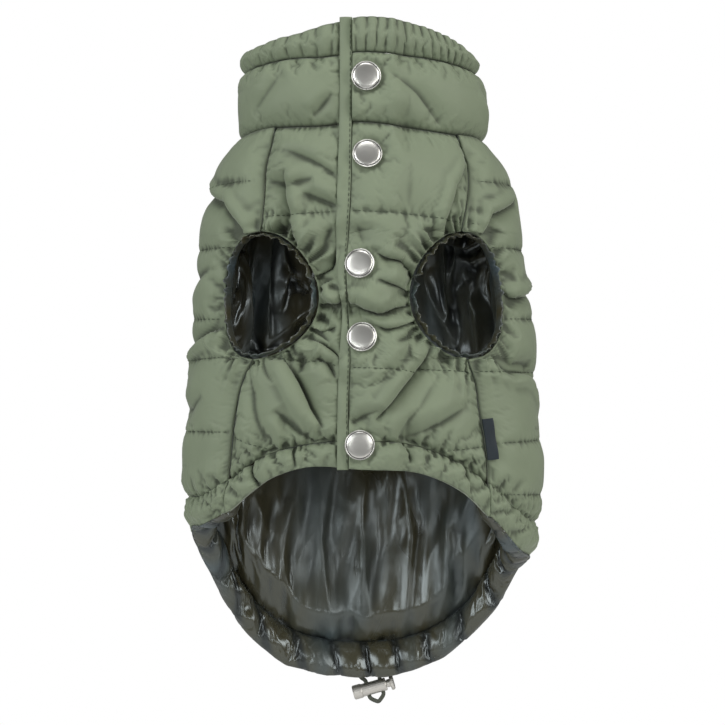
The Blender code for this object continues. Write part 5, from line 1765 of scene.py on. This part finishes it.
def own(obj, slot, *nodes, body=BODY):
    """Hands a finished piece to the frame: its body and the solids it stands for, which are hidden.
    The finish given as slot is not used.
    """
    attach(obj, body)
    if nodes:
        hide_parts(*nodes)
    return obj


# ================================ operators ======================================================

CAMERA_AWAY = 1.1            # metres from the middle plane of the vest
VIEW_WIDTH = 0.3625          # metres across the photograph at that plane
VIEW_MIDDLE = (0.00025, -0.11625)
SENSOR = 36.0
FLOOR_LEVEL = -0.42
FLOOR_RADIUS = 0.7
LIGHTS = (
    # name, place, size, power, colour
    ("key_right", (1.15, -0.75, 0.45), 0.8, 11.8, (1.0, 0.99, 0.97)),
    ("key_left", (-1.15, -0.8, 0.35), 0.8, 10.6, (0.97, 0.99, 1.0)),
    ("card_right", (0.55, -1.55, 0.05), 0.35, 2.6, (1.0, 1.0, 1.0)),
    ("card_left", (-0.55, -1.55, 0.05), 0.35, 2.6, (0.97, 0.99, 1.0)),
    ("top", (0.0, -0.45, 1.05), 0.6, 4.5, (1.0, 1.0, 1.0)),
    ("low", (0.05, -1.15, -0.95), 0.5, 3.4, (0.93, 0.97, 1.0)),
)
WORLD_LIGHT = 0.09


class VEST_OT_stage(bpy.types.Operator):
    """Camera at the photograph's angle, soft lights and a plain white floor"""
    bl_idname = "vest.stage"
    bl_label = "Stage"

    def execute(self, context):
        scene = context.scene
        data = bpy.data.cameras.new("camera")
        data.sensor_width = SENSOR
        data.lens = SENSOR * CAMERA_AWAY / VIEW_WIDTH
        camera = bpy.data.objects.new("camera", data)
        camera.location = (VIEW_MIDDLE[0], -CAMERA_AWAY, VIEW_MIDDLE[1])
        camera.rotation_euler = (math.radians(90), 0.0, 0.0)
        scene.collection.objects.link(camera)
        scene.camera = camera
        scene.view_settings.view_transform = "Standard"

        aim = np.array([0.0, 0.0, VIEW_MIDDLE[1]])
        for name, spot, size, power, tint in LIGHTS:
            lamp = bpy.data.lights.new(name, "AREA")
            lamp.size, lamp.energy, lamp.color = size, power, tint
            obj = bpy.data.objects.new(name, lamp)
            obj.location = spot
            away = np.array(spot) - aim
            flat = math.hypot(away[0], away[1])
            obj.rotation_euler = (math.atan2(flat, away[2]), 0.0,
                                  math.atan2(away[0], -away[1]))
            scene.collection.objects.link(obj)

        world = bpy.data.worlds.new("white_studio")
        world.use_nodes = True
        tree = world.node_tree
        sky = tree.nodes["Background"]
        seen = add(tree, "ShaderNodeLightPath")
        strength = add(tree, "ShaderNodeMapRange", {"To Min": WORLD_LIGHT, "To Max": 1.0},
                       {"Value": seen.outputs["Is Camera Ray"]})
        sky.inputs["Color"].default_value = (1.0, 1.0, 1.0, 1.0)
        tree.links.new(strength.outputs[0], sky.inputs["Strength"])
        scene.world = world

        turn = np.linspace(0.0, 2 * math.pi, 96, endpoint=False)
        rim = np.stack([FLOOR_RADIUS * np.cos(turn), FLOOR_RADIUS * np.sin(turn),
                        0 * turn + FLOOR_LEVEL], axis=-1)
        floor = add_mesh("studio_floor", rim, [list(range(len(turn)))],
                         [materials_of(context)["floor"]])
        return {"FINISHED"}


class VEST_OT_drawcord(bpy.types.Operator):
    """The braided drawcord through the cord lock"""
    bl_idname = "vest.drawcord"
    bl_label = "Drawcord"

    def execute(self, context):
        sizes, mats = context.scene.vest_sizes, materials_of(context)
        obj, route, length = cord_piece(sizes, mats["cord"])
        own(obj, "cord", "draw_cord")
        return {"FINISHED"}


class VEST_OT_fronts(bpy.types.Operator):
    """The two quilted fronts"""
    bl_idname = "vest.fronts"
    bl_label = "Fronts"

    def execute(self, context):
        sizes, mats = context.scene.vest_sizes, materials_of(context)
        for side, name, node in ((-1, "padded_front_left", "front_left"),
                                 (1, "padded_front_right", "front_right")):
            obj = front_piece(name, side, sizes, [mats["shell"], mats["lining"]])
            own(obj, "shell", node)
        return {"FINISHED"}


class VEST_OT_back(bpy.types.Operator):
    """The quilted back and its nylon lining"""
    bl_idname = "vest.back"
    bl_label = "Back and lining"

    def execute(self, context):
        sizes, mats = context.scene.vest_sizes, materials_of(context)
        own(back_piece(sizes, [mats["shell"], mats["lining"]]), "shell", "back_panel")
        lining = own(lining_piece(sizes, mats["lining"]), "lining", "back_lining")
        return {"FINISHED"}


class VEST_OT_collar(bpy.types.Operator):
    """The collar and its gathered casing"""
    bl_idname = "vest.collar"
    bl_label = "Collar"

    def execute(self, context):
        sizes, mats = context.scene.vest_sizes, materials_of(context)
        pair = [mats["shell"], mats["lining"]]
        own(collar_piece(sizes, pair), "shell", "collar")
        own(casing_piece(sizes, pair), "shell", "collar_casing")
        return {"FINISHED"}


class VEST_OT_hem(bpy.types.Operator):
    """The hem bands and the drawn-in hem lining"""
    bl_idname = "vest.hem"
    bl_label = "Hem"

    def execute(self, context):
        sizes, mats = context.scene.vest_sizes, materials_of(context)
        pair = [mats["shell"], mats["lining"]]
        for side, end in ((-1, "left"), (1, "right"), (0, "back")):
            obj = hem_piece(f"padded_hem_{end}", side, sizes, pair)
            own(obj, "shell", f"hem_band_{end}")
        roll = roll_piece(sizes, mats["lining"])
        own(roll, "lining", "hem_roll")
        return {"FINISHED"}


class VEST_OT_strip(bpy.types.Operator):
    """The stitched strip along the opening"""
    bl_idname = "vest.strip"
    bl_label = "Placket strip"

    def execute(self, context):
        mats = materials_of(context)
        obj = strip_piece(mats["shell"], mats["lining"])
        own(obj, "shell", "placket_strip")
        return {"FINISHED"}


class VEST_OT_frills(bpy.types.Operator):
    """The ruffled lining round the armholes"""
    bl_idname = "vest.frills"
    bl_label = "Armhole frills"

    def execute(self, context):
        mats = materials_of(context)
        for side, end in ((-1, "left"), (1, "right")):
            obj = frill_piece(f"ruffled_armhole_{end}", side, mats["lining"])
            own(obj, "lining", f"armhole_frill_{end}")
        return {"FINISHED"}


class VEST_OT_stitches(bpy.types.Operator):
    """The quilting and topstitching threads"""
    bl_idname = "vest.stitches"
    bl_label = "Stitches"

    def execute(self, context):
        sizes, mats = context.scene.vest_sizes, materials_of(context)
        for name, lines in (("quilting_stitches", Pieces.quilted),
                            ("strip_topstitches", Pieces.topstitched)):
            own(stitches(name, lines, sizes.stitch_pitch, sizes.stitch_length, sizes.thread,
                         mats["thread"]), "shell")
        return {"FINISHED"}


class VEST_OT_snaps(bpy.types.Operator):
    """The five snap caps"""
    bl_idname = "vest.snaps"
    bl_label = "Snaps"

    def execute(self, context):
        mats = materials_of(context)
        for number in range(1, len(SNAPS) + 1):
            own(snap_piece(number, mats["nickel"], mats["groove"]), "snap", f"snap_cap_{number}")
        return {"FINISHED"}


class VEST_OT_label(bpy.types.Operator):
    """The bare folded label in the side seam"""
    bl_idname = "vest.label"
    bl_label = "Label"

    def execute(self, context):
        obj = own(label_piece(materials_of(context)["label"]), "label", "label")
        return {"FINISHED"}


class VEST_OT_fittings(bpy.types.Operator):
    """The hem's tape, and the finishes of the cord lock and the cord's outlet"""
    bl_idname = "vest.fittings"
    bl_label = "Cord fittings"

    def execute(self, context):
        mats = materials_of(context)
        for node, mat in (("lock_barrel", "satin"), ("lock_plunger", "satin"),
                          ("cord_outlet", "lining")):
            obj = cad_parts[node]
            obj.data.materials.clear()
            obj.data.materials.append(mats[mat])
        obj = own(tape_piece(mats["tape"]), "tape", "cord_tape")
        return {"FINISHED"}


OPERATORS = (VEST_OT_stage, VEST_OT_drawcord, VEST_OT_fronts, VEST_OT_back, VEST_OT_collar,
             VEST_OT_hem, VEST_OT_strip, VEST_OT_frills, VEST_OT_stitches, VEST_OT_snaps,
             VEST_OT_label, VEST_OT_fittings)


class VEST_PT_sidebar(bpy.types.Panel):
    """Lists the vest's pieces, in the order in which they are made"""
    bl_label = "Quilted Dog Vest"
    bl_idname = "VEST_PT_sidebar"
    bl_space_type = "VIEW_3D"
    bl_region_type = "UI"
    bl_category = "Vest"

    def draw(self, context):
        for title, group in (("Sizes", context.scene.vest_sizes),
                             ("Colours", context.scene.vest_colours)):
            box = self.layout.box()
            box.label(text=title)
            for key in group.__annotations__:
                box.prop(group, key)
        for operator in OPERATORS:
            self.layout.operator(operator.bl_idname)


CLASSES = (VestSizes, VestColours, *OPERATORS, VEST_PT_sidebar)


def register():
    for cls in CLASSES:
        bpy.utils.register_class(cls)
    bpy.types.Scene.vest_sizes = bpy.props.PointerProperty(type=VestSizes)
    bpy.types.Scene.vest_colours = bpy.props.PointerProperty(type=VestColours)


def unregister():
    del bpy.types.Scene.vest_colours
    del bpy.types.Scene.vest_sizes
    for cls in reversed(CLASSES):
        bpy.utils.unregister_class(cls)


def main():
    register()
    for operator in OPERATORS:
        group, name = operator.bl_idname.split(".")
        getattr(getattr(bpy.ops, group), name)()


if __name__ == "__main__":
    main()
